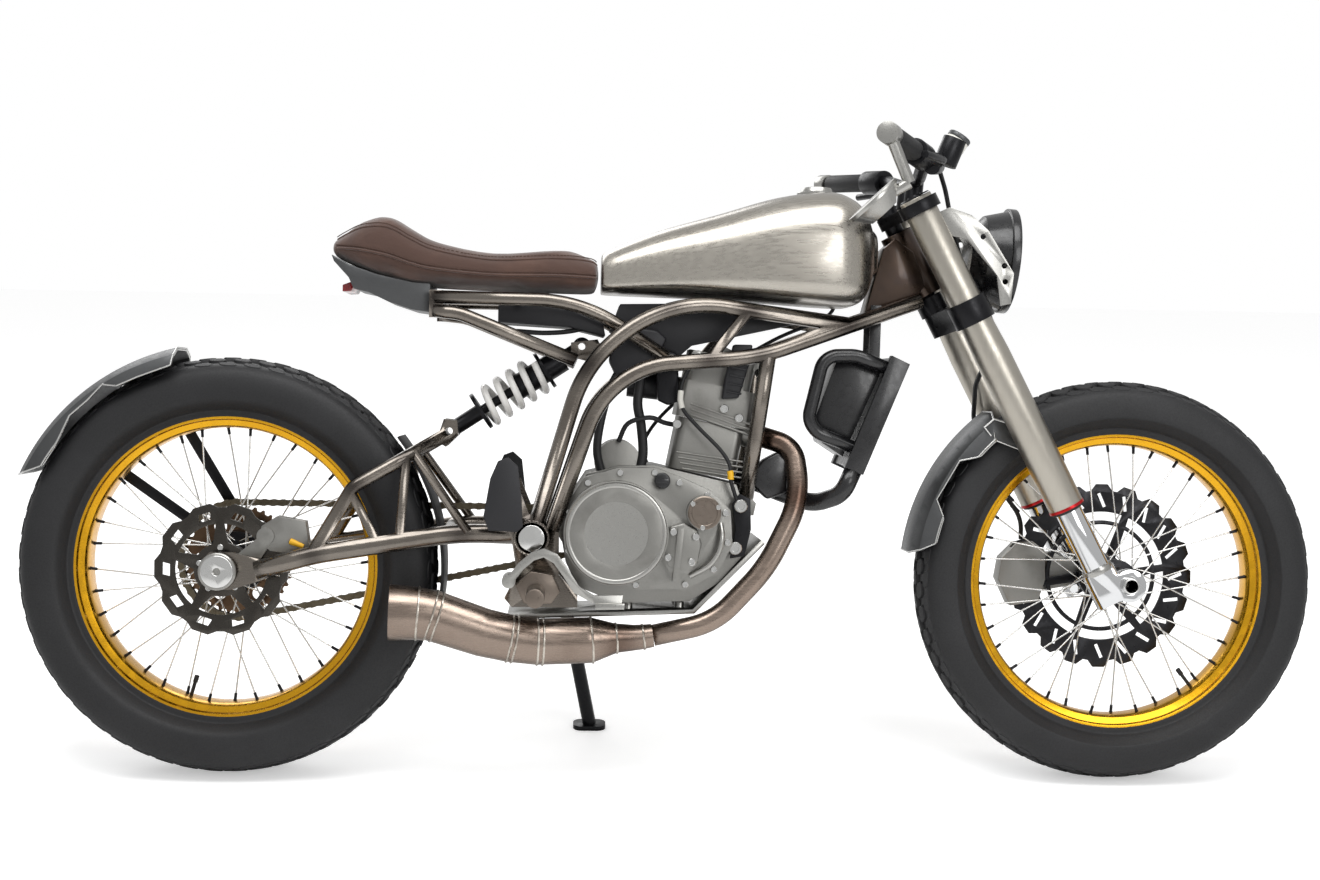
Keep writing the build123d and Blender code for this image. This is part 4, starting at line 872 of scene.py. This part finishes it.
def link(half_wide, thick, name):
    """Pair of waisted side plates joined by a roller."""
    form = Form()
    outline = []
    for cx, start in ((PITCH / 2, -1.2), (-PITCH / 2, pi - 1.2)):
        for k in range(5):
            t = start + 2.4 * k / 4
            outline.append((cx + 6.4 * cos(t), 6.4 * sin(t)))
        outline.append((cx * 0.05, 4.6 if cx > 0 else -4.6))
    for side in (1, -1):
        form.plate(outline, side * half_wide, side * (half_wide - thick))
    form.rod((PITCH / 2, -half_wide - 0.8, 0), (PITCH / 2, half_wide + 0.8, 0), 2.4, sides=8)
    form.rod((-PITCH / 2, -3.6, 0), (-PITCH / 2, 3.6, 0), 3.9, sides=10)
    return pattern(name, form)


wide_link, narrow_link = link(7.9, 1.7, "wide_link"), link(6.0, 1.7, "narrow_link")
chain_line = list(chain_marks())
for name, unit_link, odd in (("chain_outer_links", wide_link, 0), ("chain_inner_links", narrow_link, 1)):
    marks = [(point, (0, -heading, 0), (1, 1, 1)) for n, point, heading in chain_line if n % 2 == odd]
    piece = grown(name, MARKS, {"Piece": unit_link, "Size": 1.0, "Finish": CHAIN}, "frame",
                  stands_for=["chain"] if odd == 0 else (), points=marks)
print("chain links", len(chain_line))

# %% Shock absorber and its spring
SHOCK_LOW, SHOCK_HIGH = Vector((361, 0, 572)), Vector((578, 0, 716))
shock_way = unit(SHOCK_HIGH - SHOCK_LOW)
copied("shock_absorber", BLACK_METAL, bevel=0.6)
spring_at = Matrix.Translation(SHOCK_LOW + shock_way * 68.5) @ shock_way.to_track_quat("Z",
                                                                                       "Y").to_matrix().to_4x4()
grown("shock_spring_coil", COIL, {"Turns": 4.6, "Radius": 30.0, "Height": 110.0, "Wire": 5.8,
                                  "Finish": SPRING},
      "frame", ["shock_spring"], frame_at=spring_at)

# %% [markdown]
# ## Frame, fork and running gear
# These solids already have their true shapes. A copy of each gets merged corners, a small round
# on its sharp edges, and its finish.

# %% Copies of the engineered solids
# node, finish, slot, edge round in mm
COPIES = (
    ("frame_left", RAW_TUBE, "raw_tube", 0.0), ("frame_right", RAW_TUBE, "raw_tube", 0.0),
    ("steering_head", BRONZE, "bronze_gusset", 1.5), ("cross_members", RAW_TUBE, "raw_tube", 0.6),
    ("seat_rails", RAW_TUBE, "raw_tube", 0.0), ("swingarm", RAW_TUBE, "raw_tube", 0.0),
    ("rear_axle", BRIGHT, "bright_steel", 1.2), ("pivot_bolt", BRIGHT, "bright_steel", 1.0),
    ("tail_unit", GUARD_GREY, "grey_guard", 2.0), ("tail_lamp", RED_LENS, "red_lens", 1.0),
    ("crankcase", CAST, "cast_alloy", 2.5), ("cylinder", CAST, "cast_alloy", 1.5),
    ("cylinder_head", CAST, "cast_alloy", 1.8), ("left_covers", CAST, "cast_alloy", 2.0),
    ("intake", PLASTIC, "black_plastic", 2.0), ("radiator", BLACK_PAINT, "radiator_black", 1.5),
    ("coolant_hoses", BLACK_PAINT, "black_metal", 0.0), ("exhaust_header", EXHAUST, "exhaust_metal", 0.0),
    ("skid_plate", MACHINED, "silver_alloy", 1.0), ("footrests", TAUPE, "silver_alloy", 1.5),
    ("foot_levers", MACHINED, "silver_alloy", 1.5), ("heel_guards", PLASTIC, "black_plastic", 1.5),
    ("mudguard_struts", BLACK_METAL, "black_metal", 0.8), ("mud_flap", RUBBER, "rubber", 1.0),
    ("rear_caliper", CAST, "silver_alloy", 2.0),
    ("electrics", PLASTIC, "black_plastic", 2.0), ("fork_outers", FORK_SILVER, "silver_alloy", 1.5),
    ("front_axle", BRIGHT, "bright_steel", 0.8), ("yokes", BLACK_METAL, "black_metal", 1.2),
    ("handlebar", BLACK_METAL, "black_metal", 0.0), ("grips", RUBBER, "rubber", 1.5),
    ("mirrors", MACHINED, "silver_alloy", 1.2), ("hand_controls", BLACK_METAL, "black_metal", 1.2),
    ("headlamp_shell", BLACK_PAINT, "black_metal", 1.2), ("headlamp_lens", LAMP_GLASS, "lamp_glass", 1.0),
    ("lamp_brackets", MACHINED, "silver_alloy", 0.8), ("front_caliper", CAST, "silver_alloy", 2.0),
    ("front_brake_hose", RUBBER, "rubber", 0.0), ("side_stand", BLACK_METAL, "black_metal", 1.0),
)
for node, metal, slot, width in COPIES:
    copied(node, metal, width)
print("copies", len(COPIES))

# %% [markdown]
# ## Tank
# The tank is a smooth pressed shell. A few measured sections are filled in smoothly along its
# length, and each section is a rounded arch over a flat floor.

# %% Tank shell
# x, half width, floor height, top height
TANK = [(610, 66, 806, 862), (618, 78, 803, 874), (700, 97, 801, 908), (800, 114, 799, 938), (900, 126, 793,
                                                                                              968),
        (985, 125, 788, 979), (1024, 110, 789, 968), (1046, 88, 804, 948), (1059, 60, 840, 918)]
ARCH = 44


def arch(x, half, low, high):
    """Rounded section: the floor is flat and the shoulders are full."""
    ring = []
    tall = high - low
    for n in range(ARCH):
        t = 2 * pi * n / ARCH
        c, s = cos(t), sin(t)
        across = half * (1 if c > 0 else -1) * abs(c) ** 0.62
        power = 0.80 if s > 0 else 0.34
        up = (1 if s > 0 else -1) * abs(s) ** power
        middle = low + tall * 0.42
        ring.append((x, across, middle + (high - middle) * up if s > 0 else middle + (middle - low) * up))
    return ring


tank_rings = [arch(*row) for row in spread(TANK, 5)]


def shrunk(ring, share, shift):
    middle = sum((Vector(p) for p in ring), Vector()) / len(ring)
    return [middle + (Vector(p) - middle) * share + Vector((shift, 0, 0)) for p in ring]


tank_rings = ([shrunk(tank_rings[0], s, -d) for s, d in ((0.3, 1.6), (0.8, 1.2), (0.95, 0.6))] + tank_rings
              + [shrunk(tank_rings[-1], s, d) for s, d in ((0.96, 3), (0.85, 7), (0.5, 10), (0.15, 11))])
tank = Form().skin(tank_rings)
make("fuel_tank_shell", tank, "frame", TANK_SILVER, ["fuel_tank"], angle=60)
cap = Form().turned([(-8, 33), (0, 33), (1.5, 31.5), (2, 27), (6, 26), (9, 24), (10, 18), (10, 0.02)],
                    (968, 0, 979), (0, 0, 1), 48)
make("filler_cap", cap, "frame", MACHINED, angle=30)

# %% [markdown]
# ## Seat
# The suede seat is foam under a stretched cover. A slightly small block is remeshed and blown up
# a little as cloth, so that its panels crown as a real cover does. Seams are laid on afterwards.

# %% Seat pad
# x, half width, lowest, highest, on the seat's own base line
SEAT = [(168, 66, 861, 884), (190, 84, 852, 899), (220, 98, 840, 915), (262, 105, 826, 918), (300, 107, 818,
                                                                                              896),
        (340, 107, 815, 877), (430, 103, 812, 861), (530, 94, 810, 868), (585, 84, 809, 866), (603, 78, 810,
                                                                                               858)]
PAD_POINTS = 30


def pad_ring(x, half, low, high):
    """Section of the pad: flat below, crowned above, sides slightly tucked in."""
    ring = []
    for n in range(PAD_POINTS):
        t = 2 * pi * n / PAD_POINTS
        c, s = cos(t), sin(t)
        across = half * (1 if c > 0 else -1) * abs(c) ** 0.55
        tall = high - low
        middle = low + tall * 0.45
        up = abs(s) ** (0.75 if s > 0 else 0.4)
        ring.append((x, across, middle + (high - middle) * up if s > 0 else middle - (middle - low) * up))
    return ring


def inflate(obj, voxel, pressure, cap_mm, steps):
    """Remeshes a pad, runs it as cloth under pressure and limits how far it swells."""
    remesh = obj.modifiers.new("even mesh", "REMESH")
    remesh.mode = "VOXEL"
    remesh.voxel_size = voxel
    mesh = settled(obj)
    rest = [v.co.copy() for v in mesh.vertices]
    cloth = obj.modifiers.new("cover", "CLOTH")
    cloth.settings.use_pressure = True
    cloth.settings.uniform_pressure_force = pressure
    cloth.settings.effector_weights.gravity = 0.0
    cloth.settings.quality = 4
    cloth.point_cache.frame_start = 1
    cloth.point_cache.frame_end = steps
    for step in range(1, steps + 1):
        bpy.context.scene.frame_set(step)
    mesh = settled(obj)
    bpy.context.scene.frame_set(1)
    for vertex, start in zip(mesh.vertices, rest):
        move = vertex.co - start
        if move.length > cap_mm / 1000:
            vertex.co = start + move.normalized() * (cap_mm / 1000)
    return obj


def seat_pad():
    mesh = bpy.data.meshes.new("seat_pad")
    form = Form().skin([pad_ring(*row) for row in spread(SEAT, 4)])
    mesh.from_pydata([PARK_MM @ c for c in form.corners], [], form.faces)
    mesh.materials.append(SUEDE)
    outwards(mesh, 0.0)
    obj = bpy.data.objects.new("seat_pad", mesh)
    bpy.context.scene.collection.objects.link(obj)
    inflate(obj, 0.006, 4.0, 5.0, 20)
    smooth = obj.modifiers.new("smooth", "SUBSURF")
    smooth.levels = smooth.render_levels = 1
    mesh = settled(obj)
    mesh.shade_smooth()
    place(obj, "frame", ["seat"])
    return obj


seat = seat_pad()
print("seat faces", len(seat.data.polygons))

# %% [markdown]
# Two seams run along each side of the seat: the welt above its base, and the joint of the top
# panel. Their points are dropped onto the cover as it came out, and stitches stand beside them.

# %% Seams and stitches
UPRIGHT = PARK_MM.inverted()


def seam_line(turn, side):
    """Points on the cover along the seat, where a ray at this turn round each section leaves it."""
    line = []
    for row in spread(SEAT, 6)[3:-2]:
        x, half, low, high = row
        middle = Vector((x, 0, low + (high - low) * 0.45))
        way = Vector((0, side * cos(turn) * half, sin(turn) * (high - low) * 0.55)).normalized()
        hit, at, _, _ = seat.ray_cast(PARK_MM @ (middle + way * 300),
                                      (PARK_MM @ middle) - (PARK_MM @ (middle + way * 300)))
        if hit:
            line.append((UPRIGHT @ at, way))
    return line


stitch_unit = pattern("stitch_unit", Form().turned([(-2.4, 0.3), (-2.0, 0.8), (2.0, 0.8), (2.4, 0.3)], (0,
                                                                                                        0, 0),
                                                   (0, 0, 1), 8))
seams, stitches = Form(), []
for turn in (radians(-14), radians(38)):
    for side in (1, -1):
        line = seam_line(turn, side)
        seams.sweep([at + way * 0.4 for at, way in line], 1.9, 10)
        path = flowing([at + way * 0.7 + Vector((0, 0, 5)) for at, way in line], 8)
        for n in range(0, len(path) - 1):
            stitches.append(aimed(path[n], path[n + 1] - path[n]))
make("seat_seams", seams, "frame", SUEDE, angle=60)
grown("seat_stitches", MARKS, {"Piece": stitch_unit, "Size": 1.0, "Finish": THREAD}, "frame",
      points=stitches)
print("stitches", len(stitches))

# %% [markdown]
# ## Silencer
# A stubby tapered silencer of rolled and welded sheet. Its rings are turned along a bending
# middle line, and round beads stand where the lengths were welded.

# %% Silencer and weld beads
# x, y, z of the middle line, radius
SILENCER = [(699, -107, 245.8, 19), (684, -107.5, 243.5, 20), (668, -108, 242, 21), (650, -108.5, 241.4,
                                                                                     23),
            (640, -109, 241, 24), (600, -111, 238, 37), (590, -111.6, 237.5, 37.2), (512, -116, 235, 37.5),
            (470, -120, 240, 38), (425, -124, 250, 39), (345, -132, 277, 41), (318, -134, 281, 42.5),
            (276, -136, 282, 45)]
tail_way = unit(Vector(SILENCER[-1][:3]) - Vector(SILENCER[-2][:3]))


def silencer_ring(n, radius, shift=0.0, sides=56):
    before = Vector(SILENCER[max(n - 1, 0)][:3])
    after = Vector(SILENCER[min(n + 1, len(SILENCER) - 1)][:3])
    way = unit(after - before)
    side, up = cross_axes(way)
    middle = Vector(SILENCER[n][:3]) + way * shift
    return [middle + (side * cos(2 * pi * k / sides) + up * sin(2 * pi * k / sides)) * radius for k in range(sides)]


rings = [silencer_ring(n, row[3]) for n, row in enumerate(SILENCER)]
last = len(SILENCER) - 1
rings += [silencer_ring(last, 44.5, 1.5), silencer_ring(last, 42.5, 1.5), silencer_ring(last, 40, -6),
          silencer_ring(last, 38, -52)]
make("silencer_fine", Form().skin(rings), "frame", EXHAUST, ["silencer"], angle=30)

beads = Form()
for n, radius, shifts in ((5, 37.0, (0,)), (4, 24.0, (0,)), (7, 37.4, (0, -9)), (8, 38, (2, -6)), (10, 41,
                                                                                                   (-6, 4)),
                          (11, 42.2, (-2,)), (1, 20.0, (0,))):
    for shift in shifts:
        ring = silencer_ring(n, radius, shift, 40)
        middle = sum(ring, Vector()) / len(ring)
        beads.skin([[p + (p - middle).normalized() * 2.0 * cos(t) + tail_way * 2.0 * sin(t)
                     for t in [2 * pi * k / 6 for k in range(6)]] for p in ring], loop=True)
make("silencer_welds", beads, "frame", WELD, angle=60)

# %% [markdown]
# ## Mudguards
# Bent sheet with a kinked edge and a rolled bead, whose bright finish is a painted highlight along the edge. The
# engineered sheet is copied, and the bead follows its lower edge.

# %% Mudguards
BEAD_R = 1.5


def beaded(node, name, least_turn):
    """Wire along the sharp edges of a sheet, from the engineered solid's own corners, in a bright finish that paints
    the edge's highlight.
    """
    work = bmesh.new()
    work.from_mesh(frame["nodes"][node].data)
    bmesh.ops.remove_doubles(work, verts=work.verts, dist=2e-6)
    wire = Form()
    for edge in work.edges:
        if len(edge.link_faces) == 2 and edge.calc_face_angle() > radians(least_turn):
            a, b = (UPRIGHT @ v.co for v in edge.verts)
            wire.rod(a, b, BEAD_R, sides=8)
    work.free()
    return make(name, wire, BODY_OF[node], GUARD_EDGE_PAINTED_HIGHLIGHT, angle=60)


for node in ("rear_mudguard", "front_mudguard"):
    copied(node, GUARD_GREY, 0.8)
    beads = beaded(node, node + "_bead", 62)
    print(node, "bead faces", len(beads.data.polygons))

# %% [markdown]
# ## Engine details
# Screws round the covers, the round lids of the clutch and the starter, and the cables and hoses that run between
# them.

# %% Clutch cover
copied("clutch_cover", CAST, 2.2)
CLUTCH, FILTER = (636, 0, 415), (778, 0, 449)
lid = Form().turned([(158, 82), (164, 82), (166.5, 80.5), (167.5, 77.5), (167, 75), (165.8, 73.5), (165.4,
                                                                                                    70),
                     (165.4, 0.02)], CLUTCH, (0, -1, 0), 96)
make("clutch_lid", lid, "frame", MACHINED, angle=30)
cap = Form().turned([(143, 27), (146, 27), (147.5, 25), (147.5, 21), (146.5, 20), (146.5, 0.02)], FILTER,
                    (0, -1, 0), 64)
make("filter_lid", cap, "frame", TAUPE, angle=30)
print("clutch lid at", CLUTCH, "filter lid at", FILTER)

# %% Screws round the engine covers
COVER_EDGE = [(560, 384), (561, 446), (590, 494), (642, 511), (698, 512), (738, 496), (784, 476), (814,
                                                                                                   448),
              (818, 400), (796, 356), (750, 331), (670, 329), (596, 350)]
screws("cover_screws", [((x, -121.0, z), (0, -1, 0)) for x, z in COVER_EDGE], "frame", size=1.1)
screw_ring("filter_screws", FILTER, 24, 3, -147, -1, "frame", start=0.4, size=0.8)
screws("pump_screws", [((x, -137.0, z), (0, -1, 0)) for x, z in ((729, 417), (765, 410), (759, 369), (721,
                                                                                                      376))],
       "frame", size=1.2)
screws("head_bolts", [((x, -64.5, z), (0, -1, 0)) for x, z in ((813, 616), (838, 601), (736, 590), (748,
                                                                                                    690), (870, 676))],
       "frame", size=1.5)
screws("mount_bolts", [((x, -99.0, z), (0, -1, 0)) for x, z in ((840, 458), (832, 389))], "frame", size=2.2)
LEFT_EDGE = [(650, 340), (646, 470), (700, 508), (786, 482), (838, 438), (836, 390), (796, 338)]
screws("left_cover_screws", [((x, 111.5, z), (0, 1, 0)) for x, z in LEFT_EDGE], "frame", size=1.1)

# %% [markdown]
# The side of the engine carries small covers: the oil pump's lid, the coil's slanted housing, the
# water pump, the throttle body and the plate that hangs the engine in the frame. Each is one
# outline with a depth, and its edges are rounded.

# %% Small covers
# name, finish, slot, edge round, y from, y to, outline of (x, z)
SMALL_COVERS = (
    ("pump_cover", CAST, "cast_alloy", 3.5, -118, -137,
     [(724, 426), (746, 432), (768, 421), (775, 398), (768, 362), (745, 352), (720, 362), (712, 392)]),
    ("coil_cover", PLASTIC, "black_plastic", 3.5, -60, -78,
     [(826, 722), (858, 722), (853, 690), (836, 634), (808, 632), (813, 668)]),
    ("airbox_side", PLASTIC, "black_plastic", 5.0, -62, -20,
     [(622, 692), (636, 752), (700, 744), (718, 730), (690, 668), (638, 660)]),
    ("throttle_body", BLACK_METAL, "black_metal", 4.0, -58, -20,
     [(698, 706), (712, 714), (736, 706), (740, 628), (722, 620), (704, 628)]),
    ("water_pump", BLACK_PAINT, "black_metal", 5.0, -62, -30,
     [(853, 499), (862, 514), (880, 533), (904, 546), (922, 531), (920, 478), (887, 467)]),
    ("engine_mount", BLACK_METAL, "black_metal", 1.2, -99, -93,
     [(824, 372), (848, 376), (858, 420), (856, 470), (838, 478), (826, 462), (832, 420)]),
)
for name, metal, slot, width, y_from, y_to, outline in SMALL_COVERS:
    make(name, Form().plate(outline, y_from, y_to), "frame", metal, bevel=width, segments=3)

# %% Round caps, ribs of the head and the ribs of the coil cover
caps = Form().turned([(120, 13), (131, 13), (133, 11.5), (133, 0.02)], (710, 0, 499), (0, -1, 0), 40)
caps.plate([(700, 503), (720, 503), (720, 495), (700, 495)], -138, -131)
make("oil_filler", caps, "frame", BLACK_PAINT, bevel=1.0)
ribs = Form()
for n in range(3):
    ribs.rod((758, -63, 606 + 9 * n), (858, -63, 573 + 9 * n), 2.4, sides=10)
for n in range(4):
    ribs.rod((736 + n * 3, -61, 544 - n * 9), (846, -61, 512 + (3 - n) * 9 - 10), 1.8, sides=10)
make("head_ribs", ribs, "frame", CAST, angle=60)
grip_ribs = Form()
for n in range(6):
    grip_ribs.rod((816 + n * 2.5, -79, 645 + n * 13), (840 + n * 2.5, -79, 641 + n * 13), 1.8, sides=8)
make("coil_ribs", grip_ribs, "frame", PLASTIC, angle=60)

# %% [markdown]
# Leads and hoses hang between the frame tubes and the engine. Each is a smooth path through a few
# points, from a plug or a clamp to the piece that it serves.

# %% Leads, hoses and pipes
# name, finish, slot, radius, points
LINES = (
    ("head_lead", RUBBER, "rubber", 3.2, [(766, -66, 698), (745, -72, 664), (740, -76, 634), (746, -79,
                                                                                              612),
                                          (771, -84, 584), (805, -94, 550), (821, -98, 525), (823, -100,
                                                                                              500),
                                          (834, -96, 467)]),
    ("lead_sleeve", WHITE_PART, "white_spring", 4.8, [(741, -75.5, 645), (740, -76.5, 630), (743, -78,
                                                                                             616)]),
    ("lead_tag", YELLOW_PART, "white_spring", 5.2, [(822, -98.5, 515), (823, -99.5, 508), (823, -100,
                                                                                           501)]),
    ("head_loom", RUBBER, "rubber", 8.0, [(680, -40, 706), (675, -48, 658), (671, -53, 622), (677, -56,
                                                                                              588),
                                          (681, -58, 542), (676, -60, 512)]),
    ("breather_hose", RUBBER, "rubber", 7.0, [(648, -46, 690), (627, -58, 650), (612, -62, 600), (605, -62,
                                                                                                  545),
                                              (614, -62, 506)]),
    ("tray_lead", RUBBER, "rubber", 4.0, [(612, -50, 760), (570, -58, 742), (520, -60, 736), (470, -60,
                                                                                              738)]),
    ("oil_pipe", MACHINED, "silver_alloy", 4.8, [(806, -120, 430), (808, -131, 410), (802, -132, 384),
                                                 (786, -131, 362), (758, -120, 345)]),
    ("starter_lead", RUBBER, "rubber", 4.0, [(640, -66, 560), (655, -78, 590), (690, -80, 600), (714, -64,
                                                                                                 592),
                                             (734, -48, 588)]),
    ("clutch_line", RUBBER, "rubber", 3.2, [(700, 70, 500), (690, 96, 560), (760, 96, 640), (900, 70, 730),
                                            (990, 40, 772),
                                             (1010, 30, 802)]),
)
for name, metal, slot, radius, points in LINES:
    make(name, Form().sweep(flowing(points), radius), "frame", metal, angle=60)
banjo = Form().turned([(63, 10), (68, 10), (69, 8), (69, 5.5), (74, 5.5), (74, 0.02)], (767, 0, 702), (0,
                                                                                                       -1, 0), 24)
make("head_banjo", banjo, "frame", MACHINED, bevel=0.5)
nut = Form().turned([(126, 30), (133, 30), (135, 28), (135, 11), (128, 10), (128, 0.02)], REAR_AXLE, (0, -1,
                                                                                                      0), 60)
make("rear_axle_nut", nut, "frame", MACHINED, angle=30)
bleed = Form().rod((112, -104, 392), (134, -108, 384), 5.5, 3.5)
make("bleed_cap", bleed, "frame", YELLOW_PART, bevel=0.8)

# %% Fluid reservoir on the bar
RESERVOIR_AT, RESERVOIR_WAY = (1166, -170, 1043), (0.54, 0, 0.84)
make("reservoir_cup", Form().turned([(-16, 15), (-13, 18.5), (11, 18.5)], RESERVOIR_AT, RESERVOIR_WAY, 40),
     "steering",
     WHITE_PART, bevel=0.8)
make("reservoir_cap", Form().turned([(11, 19.5), (17, 19.5), (19, 17.5), (19, 0.02)], RESERVOIR_AT,
                                    RESERVOIR_WAY, 40),
     "steering", GUARD_GREY, bevel=0.8)

# %% [markdown]
# The fork's upper tubes end in a red ring and a dust seal, and the bright legs slide out below.
# The rings are turned on the fork's own line, which leans back by the rake.

# %% Fork details
RAKE = radians(27.5)
DOWN_FORK, AHEAD_FORK = Vector((sin(RAKE), 0, -cos(RAKE))), Vector((cos(RAKE), 0, sin(RAKE)))
HEAD_AT = Vector((1079.5, 0, 961))
FORK_AHEAD, FORK_HALF = 35.0, 100.0


def fork(down, ahead, y):
    """Point down the steering line, ahead of it and to one side."""
    return HEAD_AT + Vector((0, y, 0)) + DOWN_FORK * down + AHEAD_FORK * ahead


copied("fork_legs", CHROME, 0.8)
for side, word in ((1, "left"), (-1, "right")):
    base = fork(0, FORK_AHEAD, side * FORK_HALF)
    ring = Form().turned([(576, 29.9), (578, 30.3), (580.6, 30.3), (580.6, 24)], base, DOWN_FORK, 56)
    make(f"fork_ring_{word}", ring, "steering", RED, angle=30)
    seal = Form().turned([(580.7, 28.6), (584, 27.5), (586, 23), (586, 22.2), (580.7, 22.2)], base,
                         DOWN_FORK, 48,
                         loop=True)
    make(f"fork_seal_{word}", seal, "steering", RUBBER, angle=30)
    top = Form().turned([(13, 26), (11, 24), (11, 12), (9, 11), (9, 5), (11, 4), (11, 0.02)], base,
                        DOWN_FORK, 40)
    make(f"fork_cap_{word}", top, "steering", BLACK_METAL, angle=30)
    foot = Form().rod(fork(690, FORK_AHEAD, side * FORK_HALF), fork(700, FORK_AHEAD, side * FORK_HALF), 26,
                      sides=40)
    make(f"fork_foot_{word}", foot, "steering", MACHINED, bevel=1.0)

# %% [markdown]
# ## Studio
# A pale floor, a world that the lens sees as white, and soft light from above. The
# camera stands where the photographer stood, a little ahead of the middle and at tank height.

# %% Camera
LENS, SENSOR = 53.63, 36.0
CAMERA_AT = Vector((549.9, -3295.5, 644.0)) / 1000
YAW, PITCH_DOWN, ROLL = 0.049, -0.025, 0.016
ahead = Vector((sin(YAW) * cos(PITCH_DOWN), cos(YAW) * cos(PITCH_DOWN), sin(PITCH_DOWN)))
right = Vector((cos(YAW), -sin(YAW), 0))
up = right.cross(ahead)
right_rolled = right * cos(ROLL) + up * sin(ROLL)
up_rolled = up * cos(ROLL) - right * sin(ROLL)
camera = bpy.data.objects.new("camera", bpy.data.cameras.new("camera"))
bpy.context.scene.collection.objects.link(camera)
camera.data.lens = LENS
camera.data.sensor_width = SENSOR
camera.data.sensor_fit = "HORIZONTAL"
turned_to = Matrix((right_rolled, up_rolled, -ahead)).transposed().to_4x4()
camera.matrix_world = PARK @ Matrix.Translation(CAMERA_AT) @ turned_to
bpy.context.scene.camera = camera
print("camera at", [round(v, 3) for v in camera.matrix_world.translation])


# %% Floor, world and lamps
def seen_value(tree, others, seen):
    """A value for the rays that show the backdrop itself, and another for the rays that only light."""
    path = tree.nodes.new("ShaderNodeLightPath")
    total = tree.nodes.new("ShaderNodeMath")
    total.operation = "ADD"
    total.use_clamp = True
    tree.links.new(path.outputs["Is Camera Ray"], total.inputs[0])
    tree.links.new(path.outputs["Is Transmission Ray"], total.inputs[1])
    ranged = tree.nodes.new("ShaderNodeMapRange")
    tree.links.new(total.outputs[0], ranged.inputs["Value"])
    ranged.inputs["To Min"].default_value = others
    ranged.inputs["To Max"].default_value = seen
    return ranged.outputs[0]


SKY_LIGHT, FLOOR_GLOW, FLOOR_REACH = 0.58, 0.42, 7.0
world = bpy.data.worlds.new("studio")
bpy.context.scene.world = world
world.use_nodes = True
background = world.node_tree.nodes["Background"]
background.inputs["Color"].default_value = (1.0, 1.0, 1.0, 1.0)
world.node_tree.links.new(seen_value(world.node_tree, SKY_LIGHT, 1.0), background.inputs["Strength"])

floor_mesh = bpy.data.meshes.new("floor")
floor_mesh.from_pydata([(x * FLOOR_REACH, y * FLOOR_REACH, 0) for x, y in ((-1, -1), (1, -1), (1, 1), (-1,
                                                                                                       1))], [],
                       [(0, 1, 2, 3)])
floor = bpy.data.objects.new("floor", floor_mesh)
bpy.context.scene.collection.objects.link(floor)
pale = finish("Pale floor", "#f6f6f6", 0.8)
glow = pale.node_tree.nodes["Principled BSDF"]
glow.inputs["Emission Color"].default_value = (1.0, 1.0, 1.0, 1.0)
pale.node_tree.links.new(seen_value(pale.node_tree, 0.0, FLOOR_GLOW), glow.inputs["Emission Strength"])
floor_mesh.materials.append(pale)


def lamp(name, at, aim, size, power):
    """Soft rectangular light that looks at a point."""
    light = bpy.data.lights.new(name, "AREA")
    light.shape = "RECTANGLE"
    light.size, light.size_y = size
    light.energy = power
    obj = bpy.data.objects.new(name, light)
    bpy.context.scene.collection.objects.link(obj)
    obj.matrix_world = (Matrix.Translation(at)
                        @ (Vector(at) - Vector(aim)).to_track_quat("Z", "Y").to_matrix().to_4x4())


lamp("top_light", (0.0, -0.9, 3.2), (0, 0, 0.5), (3.4, 1.6), 78)
lamp("front_light", (1.6, -3.0, 2.0), (0.1, 0, 0.5), (1.6, 1.6), 30)
lamp("back_light", (-1.2, 2.8, 2.0), (0, 0, 0.5), (2.4, 1.4), 26)
bpy.context.scene.view_settings.view_transform = "Standard"

# %% Tidy up and finish
for obj in patterns:
    bpy.data.objects.remove(obj)
